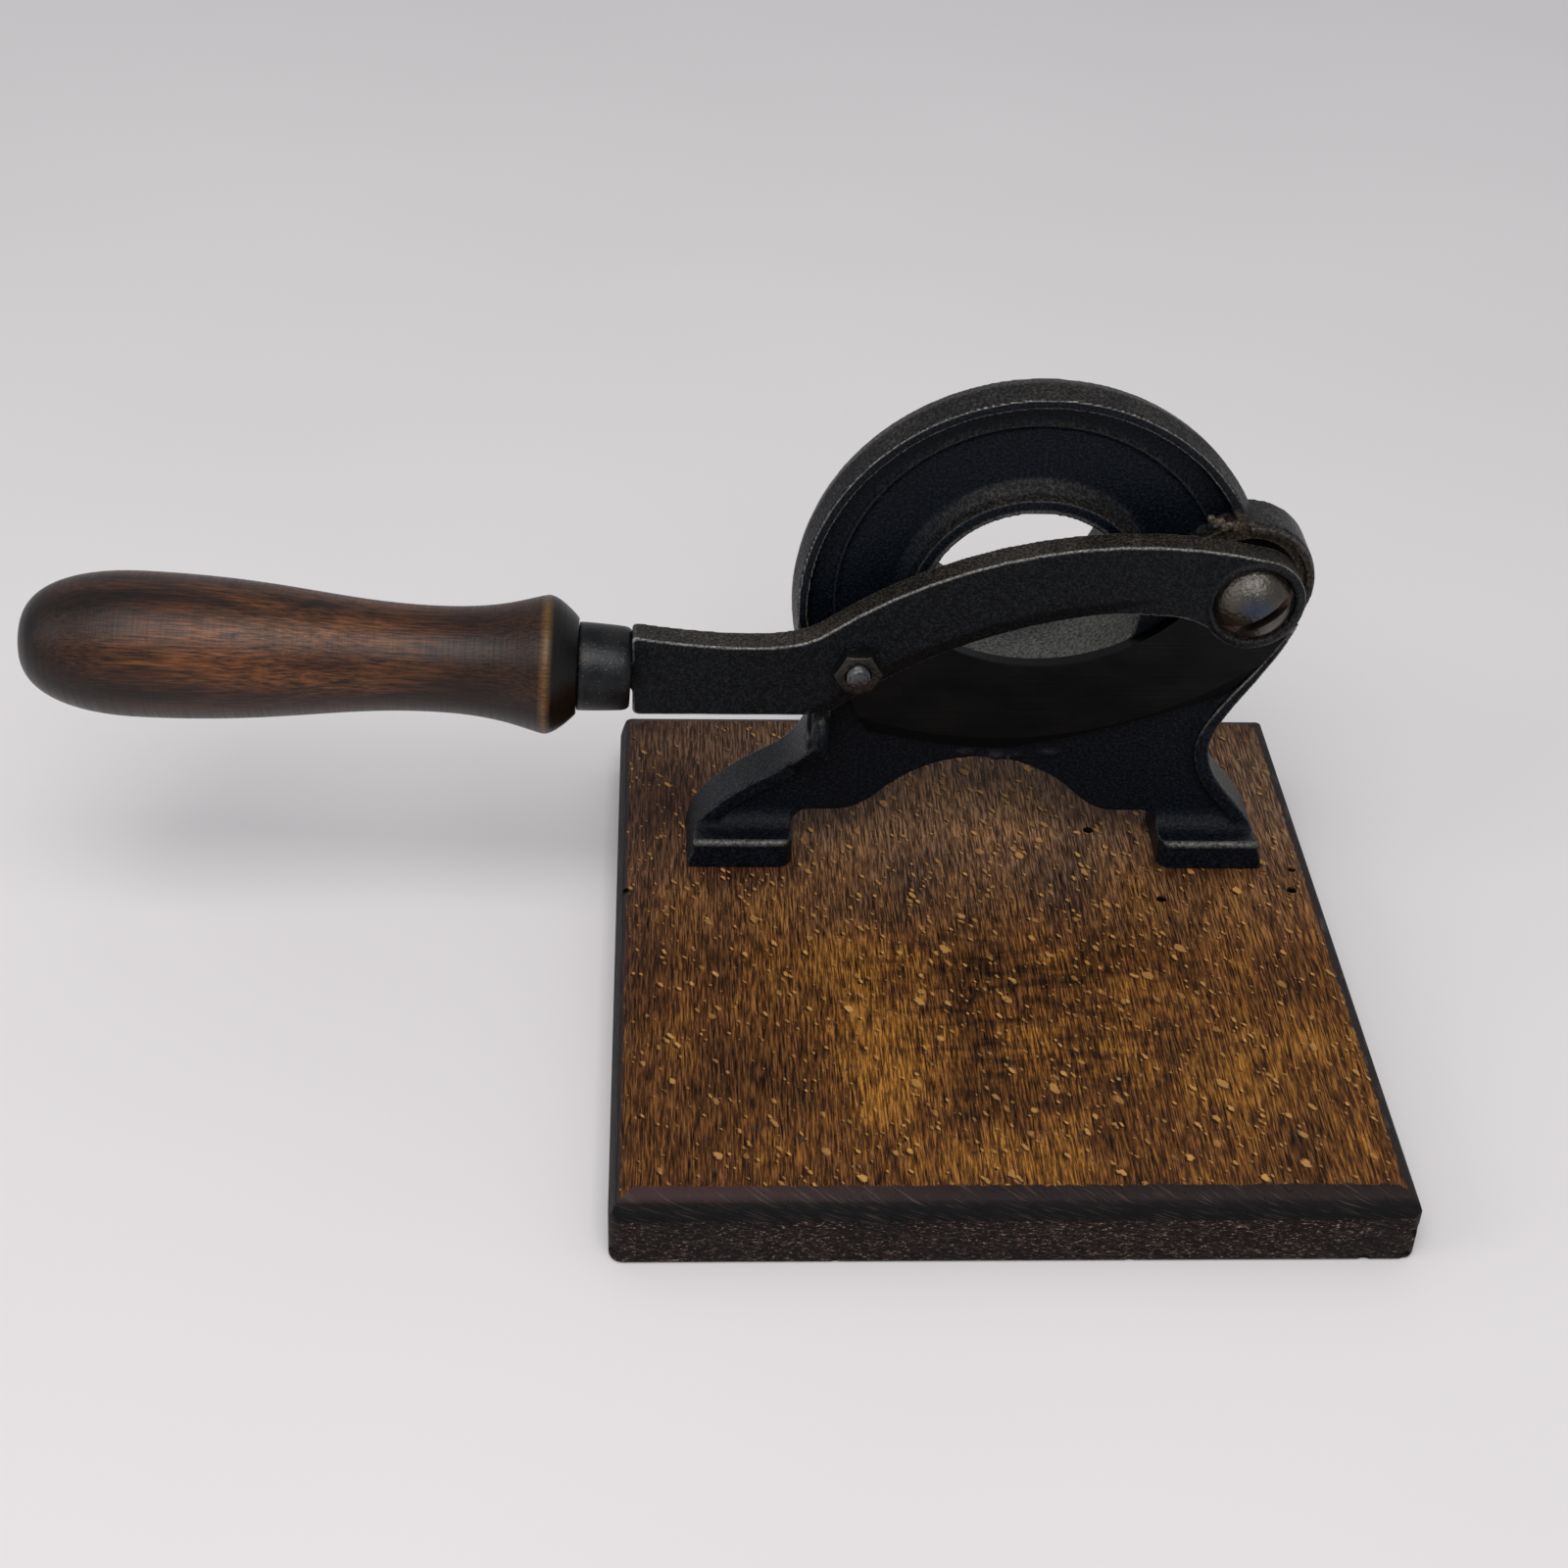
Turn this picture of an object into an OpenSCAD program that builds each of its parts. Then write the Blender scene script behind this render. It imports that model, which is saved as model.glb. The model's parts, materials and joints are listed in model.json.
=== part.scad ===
// Counter-top tobacco cutter: a hinged lever sweeps a crescent blade across a cast ring on a wooden board.
// X runs along the handle, Y from front to back and Z up. The origin is the centre of the board's underside.

/* [Base board] */
// Width of the board, left to right
board_w = 140; // [132:1:200]
// Depth of the board, front to back
board_d = 145; // [120:1:200]
// Thickness of the board
board_t = 14.5; // [12:0.5:25]
// Radius of the rounded upper edges
board_round = 4.5; // [1:0.5:8]
// Radius of the upright corners
board_corner = 2.5; // [0.5:0.5:10]

/* [Stand feet] */
// Distance from the board's centre to the middle of the stand, to the right
stand_x = 1.1; // [-4:0.1:4]
// Distance from the board's centre back to the stand's front face
stand_y = 27; // [15:0.5:32]
// Width over both feet
foot_span = 114.6; // [108:0.2:124]
// Length of one foot, left to right
foot_l = 20.8; // [18:0.1:24]
// How far a toe reaches in front of the stand's face
toe_reach = 8.2; // [6:0.2:12]
// Height of a toe
toe_h = 5.5; // [4:0.1:7]
// Radius of the toe's upper front edge
toe_round = 1.6; // [0.5:0.1:2.5]
// Radius of the hollow between a toe and the stand's face
toe_fillet = 3.6; // [2:0.2:5]
// Radius of the upright corners at a foot's inner end
foot_corner = 3; // [1:0.5:5]

/* [Stand web and flanges] */
// Thickness of the web
web_t = 5; // [4:0.2:7]
// Thickness of a flange
flange_t = 2.8; // [2:0.1:4]
// Thickness of the right flange where it leaves the boss
flange_tip_t = 0.8; // [0.6:0.1:1.2]
// Depth of a flange, front to back
flange_d = 10.5; // [8:0.5:12]
// How far a flange stands proud of the stand's face
lip = 1.6; // [0.5:0.1:2]
// Half width of the right leg at its waist
waist_dx = 44.7; // [43:0.1:47]
// Height of the waist above the board
waist_dz = 25.6; // [22:0.5:28]
// Half width of the left leg where its flange turns upwards
knee_dx = 42.3; // [40:0.1:44]
// Height of that turn above the board
knee_dz = 17.3; // [16:0.1:19]
// Height of the arch's shoulders above the board
arch_spring = 8.2; // [7.5:0.1:9.5]
// Rise of the arch from its shoulders to its crown
arch_rise = 13.1; // [12:0.1:14]
// Radius of the arch's crown
crown_r = 26; // [22:0.5:28]
// Radius of the arch's shoulders
shoulder_r = 12; // [8:0.5:13]
// Steepest slope of the arch, in degrees
arch_slope = 43; // [40:1:48]

/* [Ring and trough] */
// Distance from the middle of the stand to the ring's centre, to the right
ring_dx = 6.7; // [5:0.1:9]
// Height of the ring's centre above the board
ring_dz = 55.9; // [54:0.1:58]
// Radius of the ring at its front
ring_r = 43.6; // [42:0.1:45]
// How much the ring widens from its front to its parting line
ring_draft = 1.1; // [0.2:0.1:2]
// Depth of the parting line behind the front
parting_d = 4.6; // [4:0.1:6]
// Depth of the ring, front to back
ring_d = 7.6; // [7:0.1:10]
// Width of the rim's front edge
rim_w = 1.8; // [1.2:0.1:3]
// Radius of the feed hole
hole_r = 20.3; // [18:0.1:21]
// Width of the collar round the feed hole
collar_w = 2.8; // [2:0.1:4]
// Depth of the recess between the collar and the rim
recess_d = 4.2; // [2:0.1:5]
// Sideways slope of the recess walls from front to floor
recess_draft = 0.8; // [0.2:0.1:1.5]
// Angle that the recess runs past the horizontal at each end, in degrees
recess_past = 12; // [0:1:20]
// Length of the feed trough behind the ring
trough_l = 36; // [20:1:37]
// Wall of the feed trough
trough_wall = 3; // [2:0.1:4]

/* [Pivot] */
// Distance from the ring's centre to the pivot, to the right
pivot_dx = 40.4; // [39.5:0.1:42]
// Height of the pivot above the ring's centre
pivot_dz = 6.2; // [5.5:0.1:7]
// Radius of the pivot boss
boss_r = 12.8; // [12.4:0.1:13.5]
// Width of the raised lip round the boss
boss_lip_w = 1.5; // [1:0.1:1.6]
// How far that lip is set in from the boss's edge
boss_lip_in = 0.3; // [0.2:0.1:0.4]
// Depth of the pivot boss behind the stand's face
boss_d = 9; // [8:0.5:14]
// Radius of the pivot screw's shank
pivot_r = 4; // [3:0.1:5]
// Radius of the pivot screw's domed head
pivot_head_r = 7.3; // [6.5:0.1:8]
// Height of the dome
pivot_dome_h = 4.8; // [2.5:0.1:5.5]
// Width of the screw slot
slot_w = 1.8; // [1:0.1:2.2]
// Depth of the screw slot below the top of the dome
slot_d = 3.4; // [1.5:0.1:4]
// Turn of the screw slot from the horizontal, in degrees
slot_turn = 33; // [0:1:90]
// Radius of the rear washer
pivot_washer_r = 8; // [7.5:0.1:9]
// Thickness of the rear washer
pivot_washer_t = 1.4; // [1:0.1:2]
// Width of the rear nut across its flats
pivot_nut_af = 13; // [12:0.1:15]
// Thickness of the rear nut
pivot_nut_t = 5; // [4:0.1:7]
// How far the pivot screw stands out of the rear nut
pivot_end = 1.5; // [0.5:0.1:3]

/* [Stop] */
// Radius of the lug's rounded front
stop_r = 2.1; // [1.5:0.1:2.5]
// Height of the lug
stop_h = 13; // [8:0.5:14]
// Room between the lug and the blade's sweep
stop_room = 1.5; // [1:0.1:2]

/* [Lever] */
// Thickness of the lever bar
lever_t = 5.4; // [5:0.1:7]
// Radius of the lever's round head
head_r = 9.5; // [9:0.1:10]
// Depth of the dish that the pivot screw's head sits in
dish_d = 1; // [0.5:0.1:2]
// Room round the pivot screw's head in the dish
dish_room = 0.7; // [0.4:0.1:1.2]
// Distance from the pivot to the lever's shoulder
lever_reach = 115; // [110:1:130]
// Height of the lever at its shoulder
shank_h = 17.2; // [16:0.1:19]
// Depth of the lever's flat underside below the pivot
lever_drop = 25.3; // [24.5:0.1:26]
// Radius of the bowed upper edge
bow_r = 96; // [90:1:105]
// Direction from the pivot to where the bow meets the head, in degrees
bow_angle = 75.7; // [70:0.1:80]
// Radius of the bowed under edge
under_r = 96; // [90:1:105]
// Distance from the pivot back to the centre of the under edge
under_dx = 15; // [12:0.1:18]
// Depth of the top of the under edge below the pivot
under_dz = 2.5; // [1.5:0.1:3.5]
// Length of the tang inside the handle
tang_l = 62; // [40:1:80]
// Height and width of the tang
tang_w = 5.2; // [4:0.1:5.3]

/* [Blade] */
// Thickness of the blade
blade_t = 2.8; // [2.2:0.1:3.2]
// Radius of the cutting edge
edge_r = 82.4; // [80:0.1:84]
// Distance from the pivot back to the centre of the cutting edge
edge_dx = 44.9; // [43.5:0.1:46]
// Height of the centre of the cutting edge above the pivot
edge_dz = 44.4; // [43:0.1:46]
// Width of the blade at its middle
blade_w = 20.7; // [18:0.1:22]
// Radius of the blade's hollow upper edge
hollow_r = 37.4; // [35:0.1:39]
// Distance from the centre of the cutting edge to the centre of the hollow, to the right
hollow_dx = 6.2; // [4:0.1:8]
// Width of the ground bevel
bevel_w = 4; // [2:0.1:6]
// Thickness left at the cutting edge
edge_t = 0.4; // [0.2:0.1:0.8]
// Distance from the pivot to the blade's clamp screw, to the left
clamp_dx = 73; // [70:0.1:73.5]
// Depth of the clamp screw below the pivot
clamp_dz = 14; // [13:0.1:15]
// Radius of the blade's rounded tab round the clamp screw
tab_r = 5.5; // [5:0.1:6]
// Radius of the clamp screw's shank
clamp_r = 2.2; // [1.5:0.1:2.5]
// Radius of the clamp screw's countersunk head
clamp_head_r = 4.2; // [3.6:0.1:4.6]
// Height of the countersunk head
clamp_head_h = 2; // [1.5:0.1:2]
// Width of the clamp nut across its flats
clamp_nut_af = 8.4; // [7:0.1:10]
// Thickness of the clamp nut
clamp_nut_t = 3.6; // [2.5:0.1:5]
// How far the clamp screw stands out of its nut
clamp_end = 1.7; // [0.5:0.1:3]

/* [Handle] */
// Upward tilt of the handle from the lever, in degrees
handle_tilt = 3; // [0:0.1:6]
// Gap between the lever's shoulder and the ferrule
ferrule_gap = 0.6; // [0.5:0.1:1]
// Length of the ferrule
ferrule_l = 9.6; // [8:0.1:14]
// Outer radius of the ferrule
ferrule_r = 8.3; // [7.8:0.1:8.8]
// Wall of the ferrule
ferrule_wall = 1.3; // [0.8:0.1:1.6]
// Length of the wooden grip from the ferrule to its end
grip_l = 102; // [95:1:120]
// Radius of the grip's shoulder against the ferrule
grip_shoulder_r = 9.3; // [9:0.1:10.5]
// Radius of the bead behind the shoulder
bead_r = 13; // [12:0.1:14.5]
// Distance from the shoulder to the bead's crest
bead_s = 6.2; // [4:0.1:8]
// Radius of the neck
neck_r = 9.9; // [9:0.1:11]
// Distance from the shoulder to the neck
neck_s = 27; // [22:0.5:32]
// Radius of the swell
swell_r = 13.5; // [12.5:0.1:16]
// Distance from the shoulder to the swell
swell_s = 80; // [74:0.5:84]
// Radius of the flat at the grip's far end
butt_r = 2.5; // [1:0.1:4]

/* [Foot screws] */
// Radius of a foot screw's shank
foot_screw_r = 2.5; // [2:0.1:3]
// Radius of a foot screw's head
foot_head_r = 4.4; // [3.8:0.1:5]
// Height of a foot screw's head
foot_head_h = 2.6; // [2:0.1:3]
// Radius of a foot washer
foot_washer_r = 6; // [5.5:0.1:7]
// Thickness of a foot washer
foot_washer_t = 1.2; // [0.8:0.1:1.6]
// Depth of the sunk hole in the board's underside
sunk_d = 5; // [4.6:0.1:7]
// How far a foot screw goes into the iron
thread_l = 5.5; // [4:0.1:6]

/* [Clearances] */
// Gap between parts that slide on each other
slide = 0.12; // [0.05:0.01:0.3]
// Gap all round a turning shank
turn = 0.05; // [0.02:0.01:0.1]
// Gap between the lever's underside and its stop
stop_gap = 0.05; // [0:0.01:0.2]
// Gap all round a screw in a drilled hole
drill = 0.15; // [0.05:0.05:0.4]
// Gap all round parts that are pushed together
fit = 0.05; // [0.02:0.01:0.1]
// Room between the blade's edges and the flange lip
lip_room = 0.9; // [0.6:0.1:1]

/* [Hidden] */
$fn = 64;
// Amount that a cutter runs past a face
past = 1;
curve_steps = 12;
toe_steps = 6;
edge_steps = 128;
tap_end = 0.6;
wood = "#5a3016";
dark_wood = "#5b2a17";
iron = "#2b2c30";
steel = "#6d6f72";
rusty = "#54483e";

// Heights and planes
lever_back = stand_y - slide - blade_t;
lever_front = lever_back - lever_t;
lip_y = stand_y - lip;
heel_reach = flange_d - lip;
ring_c = [stand_x + ring_dx, board_t + ring_dz];
pivot_c = ring_c + [pivot_dx, pivot_dz];
lever_low = pivot_c.y - lever_drop;
shoulder_x = pivot_c.x - lever_reach;
clamp_c = pivot_c + [-clamp_dx, -clamp_dz];
edge_c = pivot_c + [-edge_dx, edge_dz];
hollow_c = edge_c + [hollow_dx, blade_w + hollow_r - edge_r];
foot_out = foot_span / 2;
foot_in = foot_out - foot_l;
screw_x = foot_out - foot_l / 2;
screw_y = stand_y + web_t / 2;
ferrule_ir = ferrule_r - ferrule_wall;
tang_hole_r = norm([tang_w, tang_w]) / 2 + drill;
dome_r = (pivot_head_r ^ 2 + pivot_dome_h ^ 2) / (2 * pivot_dome_h);

// Points along a cubic curve
function cubic(a, b, c, d, n = curve_steps) = [
    for (i = [0:n])
        let (t = i / n, u = 1 - t)
        u ^ 3 * a + 3 * t * u ^ 2 * b + 3 * t ^ 2 * u * c + t ^ 3 * d
];

// Points along a circular arc
function arc(c, r, from, to, n = curve_steps) = [
    for (i = [0:n])
        let (a = from + (to - from) * i / n)
        c + r * [cos(a), sin(a)]
];

function rest(p) = [for (i = [1:len(p) - 1]) p[i]];
function reversed(p) = [for (i = [len(p) - 1:-1:0]) p[i]];
function mirrored(p) = [for (i = [len(p) - 1:-1:0]) [-p[i].x, p[i].y]];

// Outward direction of a curve at one of its points
function outward(p, i) =
    let (d = p[min(i + 1, len(p) - 1)] - p[max(i - 1, 0)])
    [-d.y, d.x] / norm(d);

// The same curve moved inwards, by tip at its start and by t from its first curve's end
function inset(p, tip, t) = [
    for (i = [0:len(p) - 1])
        p[i] - (tip + (t - tip) * min(1, i / curve_steps)) * outward(p, i)
];

// A point given from the middle of the stand and the board's top
function stand_at(p) = [stand_x + p.x, board_t + p.y];
function all_stand_at(p) = [for (q = p) stand_at(q)];

// Left flange: from the foot up a curve to the turn, then upright to the ring.
// Each pull is the way from a curve's end to its control point.
left_join = 207;
left_foot_pull = [0.4, 7];
knee_low_pull = [-7, -4];
knee_high_pull = [5.5, 3];
left_top_pull = [-1, -12];
left_foot = stand_at([-foot_out, 0]);
left_knee = stand_at([-knee_dx, knee_dz]);
left_top = ring_c + ring_r * [cos(left_join), sin(left_join)];
left_curve = concat(
    cubic(left_foot, left_foot + left_foot_pull, left_knee + knee_low_pull, left_knee),
    rest(cubic(left_knee, left_knee + knee_high_pull, left_top + left_top_pull, left_top))
);

// Right flange: from the boss in to the waist, then out to the foot
right_join = -15;
right_top_pull = [-1.5, -14];
waist_high_pull = [1, 9];
waist_low_pull = [-0.2, -11];
right_foot_pull = [-0.6, 11];
flange_root_in = 0.4;
right_top = pivot_c + (boss_r - flange_root_in) * [cos(right_join), sin(right_join)];
right_waist = stand_at([waist_dx, waist_dz]);
right_foot = stand_at([foot_out, 0]);
right_curve = concat(
    cubic(right_top, right_top + right_top_pull, right_waist + waist_high_pull, right_waist),
    rest(cubic(right_waist, right_waist + waist_low_pull, right_foot + right_foot_pull, right_foot))
);

// Right half of the arch, from the crown to the shoulder
arch_fall = arch_rise - (crown_r + shoulder_r) * (1 - cos(arch_slope));
arch_run = (crown_r + shoulder_r) * sin(arch_slope) + arch_fall / tan(arch_slope);
arch_corner = 2;
arch_half = concat(
    arc([0, arch_spring + arch_rise - crown_r], crown_r, 90, 90 - arch_slope),
    arc([arch_run, arch_spring + shoulder_r], shoulder_r, 270 - arch_slope, 270),
    [[foot_in - arch_corner, arch_spring], [foot_in, arch_spring - arch_corner], [foot_in, 0]]
);

arch_curve = all_stand_at(concat(reversed(arch_half), rest(mirrored(reversed(arch_half)))));
arch_gap = concat(arch_curve, [stand_at([-foot_in, -past]), stand_at([foot_in, -past])]);
web_outline = concat(left_curve, [ring_c, pivot_c], right_curve, arch_curve);

// A flat shape drawn in X and Z, made into a plate from y to y + t
module plate(y, t) {
    translate([0, y + t, 0]) rotate([90, 0, 0]) linear_extrude(t) children();
}

// Things drawn about the Z axis, laid along +Y from a point in X and Z
module along_y(c, y) {
    translate([c.x, y, c.y]) rotate([-90, 0, 0]) children();
}

// A bore along +Y
module bore(c, r, y, l) {
    along_y(c, y) cylinder(r = r, h = l);
}

// A hexagonal nut with its flats w apart, along +Y
module hex_nut(c, w, y, t, hole) {
    difference() {
        along_y(c, y) cylinder(d = w / cos(30), h = t, $fn = 6);
        bore(c, hole, y - past, t + 2 * past);
    }
}

// A rectangle on the X axis with its two upper corners rounded
module round_topped(w, h, r) {
    translate([-w / 2, 0]) square([w, h - r]);
    translate([-w / 2 + r, 0]) square([w - 2 * r, h]);
    for (s = [-1, 1])
        translate([s * (w / 2 - r), h - r]) circle(r);
}

// A rectangle about the origin with four rounded corners
module round_rectangle(w, d, r) {
    square([w - 2 * r, d], center = true);
    square([w, d - 2 * r], center = true);
    for (s = [-1, 1], q = [-1, 1])
        translate([s * (w / 2 - r), q * (d / 2 - r)]) circle(r);
}

// Repeats its child at both feet's screws
module at_foot_screws() {
    for (s = [-1, 1])
        translate([stand_x + s * screw_x, screw_y, 0]) children();
}

module base_board() {
    color(wood)
    difference() {
        intersection() {
            plate(-board_d / 2, board_d) round_topped(board_w, board_t, board_round);
            rotate([0, 0, 90]) plate(-board_w / 2, board_w) round_topped(board_d, board_t, board_round);
            linear_extrude(board_t) round_rectangle(board_w, board_d, board_corner);
        }
        at_foot_screws() {
            translate([0, 0, -past]) cylinder(r = foot_screw_r + drill, h = board_t + 2 * past);
            translate([0, 0, -past]) cylinder(r = foot_washer_r + drill, h = sunk_d + past);
        }
    }
}

// The ring with its hole, rim, recess and collar
module ring_body() {
    along_y(ring_c, stand_y)
    difference() {
        rotate_extrude()
            polygon([
                [0, 0], [ring_r, 0], [ring_r + ring_draft, parting_d],
                [ring_r + ring_draft / 2, ring_d], [0, ring_d]
            ]);
        rotate([0, 0, 180 - recess_past])
            rotate_extrude(angle = 180 + 2 * recess_past)
                polygon([
                    [hole_r + collar_w - recess_draft * past / recess_d, -past],
                    [ring_r - rim_w + recess_draft * past / recess_d, -past],
                    [ring_r - rim_w - recess_draft, recess_d],
                    [hole_r + collar_w + recess_draft, recess_d]
                ]);
    }
}

module flange(curve, tip) {
    plate(lip_y, flange_d) polygon(concat(curve, reversed(inset(curve, tip, flange_t))));
}

// The lip round the boss, on the side that the blade doesn't sweep
boss_lip_from = -26;
boss_lip_to = 95;
module boss_lip() {
    along_y(pivot_c, lip_y)
        rotate([0, 0, -boss_lip_to])
            rotate_extrude(angle = boss_lip_to - boss_lip_from)
                translate([boss_r - boss_lip_in - boss_lip_w, 0]) square([boss_lip_w, lip + past]);
}

// One foot seen from its side, in Y and Z, with the toe to the left
module foot_profile() {
    hollow = [-toe_fillet, toe_h + toe_fillet];
    polygon(concat(
        [[heel_reach, 0], [-toe_reach, 0]],
        arc([-toe_reach + toe_round, toe_h - toe_round], toe_round, 180, 90, toe_steps),
        arc(hollow, toe_fillet, 270, 360, toe_steps),
        [[web_t, toe_h + toe_fillet], [heel_reach, toe_h + toe_fillet / 2]]
    ));
}

// One foot at the right end, before it is put in place
module foot() {
    intersection() {
        translate([foot_in, 0, 0])
            rotate([90, 0, 90]) linear_extrude(foot_l) foot_profile();
        translate([foot_out - foot_l / 2, (heel_reach - toe_reach) / 2, 0])
            linear_extrude(toe_h + toe_fillet)
                difference() {
                    square([foot_l, heel_reach + toe_reach], center = true);
                    translate([-foot_l / 2, -(heel_reach + toe_reach) / 2])
                        difference() {
                            square(foot_corner);
                            translate([foot_corner, foot_corner]) circle(foot_corner);
                        }
                }
    }
}

// The lug that carries the lever when it is down, just outside the blade's sweep
module stop_lug() {
    sweep_r = norm([clamp_dx, clamp_dz]) + tab_r + stop_room;
    x = pivot_c.x - sqrt(sweep_r ^ 2 - lever_drop ^ 2) - stop_r;
    y = (lever_front + lever_back) / 2;
    z = lever_low - stop_gap - stop_h;
    translate([x, y, z]) cylinder(r = stop_r, h = stop_h);
    translate([x - stop_r, y, z]) cube([2 * stop_r, stand_y + web_t / 2 - y, stop_h]);
    translate([x - stop_r, stand_y, z]) cube([ring_c.x - x + stop_r, web_t / 2, stop_h]);
}

module stand_casting() {
    color(iron)
    difference() {
        union() {
            plate(stand_y, web_t) polygon(web_outline);
            ring_body();
            bore(pivot_c, boss_r, stand_y, boss_d);
            boss_lip();
            difference() {
                union() {
                    flange(left_curve, flange_t);
                    flange(right_curve, flange_tip_t);
                }
                bore(pivot_c, boss_r + lip_room, lip_y - past, lip + past);
            }
            intersection() {
                plate(stand_y - toe_reach, toe_reach + heel_reach) polygon(web_outline);
                for (s = [0, 1])
                    translate([stand_x, stand_y, board_t]) mirror([s, 0, 0]) foot();
            }
            stop_lug();
            along_y(ring_c, stand_y + web_t)
                rotate_extrude(angle = 180)
                    translate([hole_r, 0]) square([trough_wall, ring_d - web_t + trough_l]);
        }
        translate([-board_w / 2, -board_d / 2, 0]) cube([board_w, board_d, board_t]);
        plate(stand_y - past, ring_d + 2 * past) polygon(arch_gap);
        bore(ring_c, hole_r, stand_y - past, ring_d + 2 * past);
        bore(pivot_c, pivot_r + fit, stand_y - past, boss_d + 2 * past);
        at_foot_screws()
            translate([0, 0, board_t - past])
                cylinder(r = foot_screw_r + fit, h = thread_l + tap_end + past);
    }
}

// Outline of the lever bar in X and Z, without its head and tang
bow_c = pivot_c - (bow_r - head_r) * [cos(bow_angle), sin(bow_angle)];
bow_stop = 127;
bow_pull = [-5.5, -4.3];
shoulder_pull = [17, -2.7];
bow_left = bow_c + bow_r * [cos(bow_stop), sin(bow_stop)];
under_c = pivot_c - [under_dx, under_r + under_dz];
under_start = 180 - asin((lever_low - under_c.y) / under_r);
under_stop = 92;
under_pull = [7, 0];
throat_angle = 245;
throat_pull = [-4, 4];
under_end = under_c + under_r * [cos(under_stop), sin(under_stop)];
throat = pivot_c + head_r * [cos(throat_angle), sin(throat_angle)];
shoulder_top = [shoulder_x, lever_low + shank_h];
lever_outline = concat(
    [[shoulder_x, lever_low]],
    arc(under_c, under_r, under_start, under_stop),
    rest(cubic(under_end, under_end + under_pull, throat + throat_pull, throat)),
    [pivot_c],
    arc(bow_c, bow_r, bow_angle, bow_stop),
    rest(cubic(bow_left, bow_left + bow_pull, shoulder_top + shoulder_pull, shoulder_top))
);

// Things drawn along +Z, laid along the handle's axis from the lever's shoulder
module along_handle(s) {
    translate([shoulder_x, lever_front + lever_t / 2, lever_low + shank_h / 2])
        rotate([0, handle_tilt - 90, 0])
            translate([0, 0, s]) children();
}

module lever_arm() {
    tang_root = 2;
    color(iron)
    difference() {
        union() {
            plate(lever_front, lever_t) polygon(lever_outline);
            bore(pivot_c, head_r, lever_front, lever_t);
            along_handle(-tang_root)
                translate([-tang_w / 2, -tang_w / 2, 0]) cube([tang_w, tang_w, tang_l + tang_root]);
        }
        bore(pivot_c, pivot_r + turn, lever_front - past, lever_t + 2 * past);
        bore(pivot_c, pivot_head_r + dish_room, lever_front - past, dish_d + past);
        bore(clamp_c, clamp_r + drill, lever_front - past, lever_t + 2 * past);
    }
}

// Area that the blade is cut from, before its two curved edges
heel_angle = -57.5;
tip_angle = 252.5;
blade_area = [
    clamp_c - [tab_r, 0],
    clamp_c + [0, tab_r],
    pivot_c - [head_r, 0],
    pivot_c + [head_r, 0],
    pivot_c + [head_r - lip_room, -head_r - lip_room],
    edge_c + edge_r * [cos(heel_angle), sin(heel_angle)],
    edge_c - [0, edge_r + past],
    edge_c + edge_r * [cos(tip_angle), sin(tip_angle)]
];

module blade() {
    color(steel)
    difference() {
        union() {
            difference() {
                intersection() {
                    plate(lever_back, blade_t) polygon(blade_area);
                    bore(edge_c, edge_r, lever_back, blade_t);
                }
                bore(hollow_c, hollow_r, lever_back - past, blade_t + 2 * past);
                along_y(edge_c, lever_back)
                    rotate_extrude($fn = edge_steps)
                        polygon([
                            [edge_r - bevel_w, 0], [edge_r - bevel_w, -past], [edge_r + past, -past],
                            [edge_r + past, blade_t - edge_t], [edge_r, blade_t - edge_t]
                        ]);
            }
            bore(pivot_c, head_r, lever_back, blade_t);
            bore(clamp_c, tab_r, lever_back, blade_t);
        }
        bore(pivot_c, pivot_r + turn, lever_back - past, blade_t + 2 * past);
        bore(clamp_c, clamp_r + drill, lever_back - past, blade_t + 2 * past);
        along_y(clamp_c, lever_back + blade_t - clamp_head_h)
            cylinder(r1 = clamp_r + drill, r2 = clamp_head_r + drill, h = clamp_head_h);
    }
}

module clamp_screw() {
    head_y = lever_back + blade_t - clamp_head_h;
    shank_y = lever_front - clamp_nut_t - clamp_end;
    color(steel)
    union() {
        bore(clamp_c, clamp_r, shank_y, head_y - shank_y);
        along_y(clamp_c, head_y) cylinder(r1 = clamp_r, r2 = clamp_head_r, h = clamp_head_h);
    }
}

module clamp_nut() {
    color(rusty)
    hex_nut(clamp_c, clamp_nut_af, lever_front - clamp_nut_t, clamp_nut_t, clamp_r + fit);
}

module pivot_screw() {
    seat_y = lever_front + dish_d - slide;
    end_y = stand_y + boss_d + pivot_washer_t + pivot_nut_t + pivot_end;
    color(steel)
    difference() {
        union() {
            bore(pivot_c, pivot_r, seat_y, end_y - seat_y);
            intersection() {
                translate([pivot_c.x, seat_y - pivot_dome_h + dome_r, pivot_c.y]) sphere(r = dome_r);
                bore(pivot_c, pivot_head_r + past, seat_y - dome_r, dome_r);
            }
        }
        translate([pivot_c.x, seat_y - pivot_dome_h - past, pivot_c.y])
            rotate([0, -slot_turn, 0])
                translate([-dome_r, 0, -slot_w / 2]) cube([2 * dome_r, slot_d + past, slot_w]);
    }
}

module pivot_washer() {
    color(steel)
    difference() {
        bore(pivot_c, pivot_washer_r, stand_y + boss_d, pivot_washer_t);
        bore(pivot_c, pivot_r + drill, stand_y + boss_d - past, pivot_washer_t + 2 * past);
    }
}

module pivot_nut() {
    color(rusty)
    hex_nut(pivot_c, pivot_nut_af, stand_y + boss_d + pivot_washer_t, pivot_nut_t, pivot_r + fit);
}

module ferrule() {
    color(iron)
    along_handle(ferrule_gap)
        difference() {
            cylinder(r = ferrule_r, h = ferrule_l);
            translate([0, 0, -past]) cylinder(r = ferrule_ir, h = ferrule_l + 2 * past);
        }
}

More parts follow.
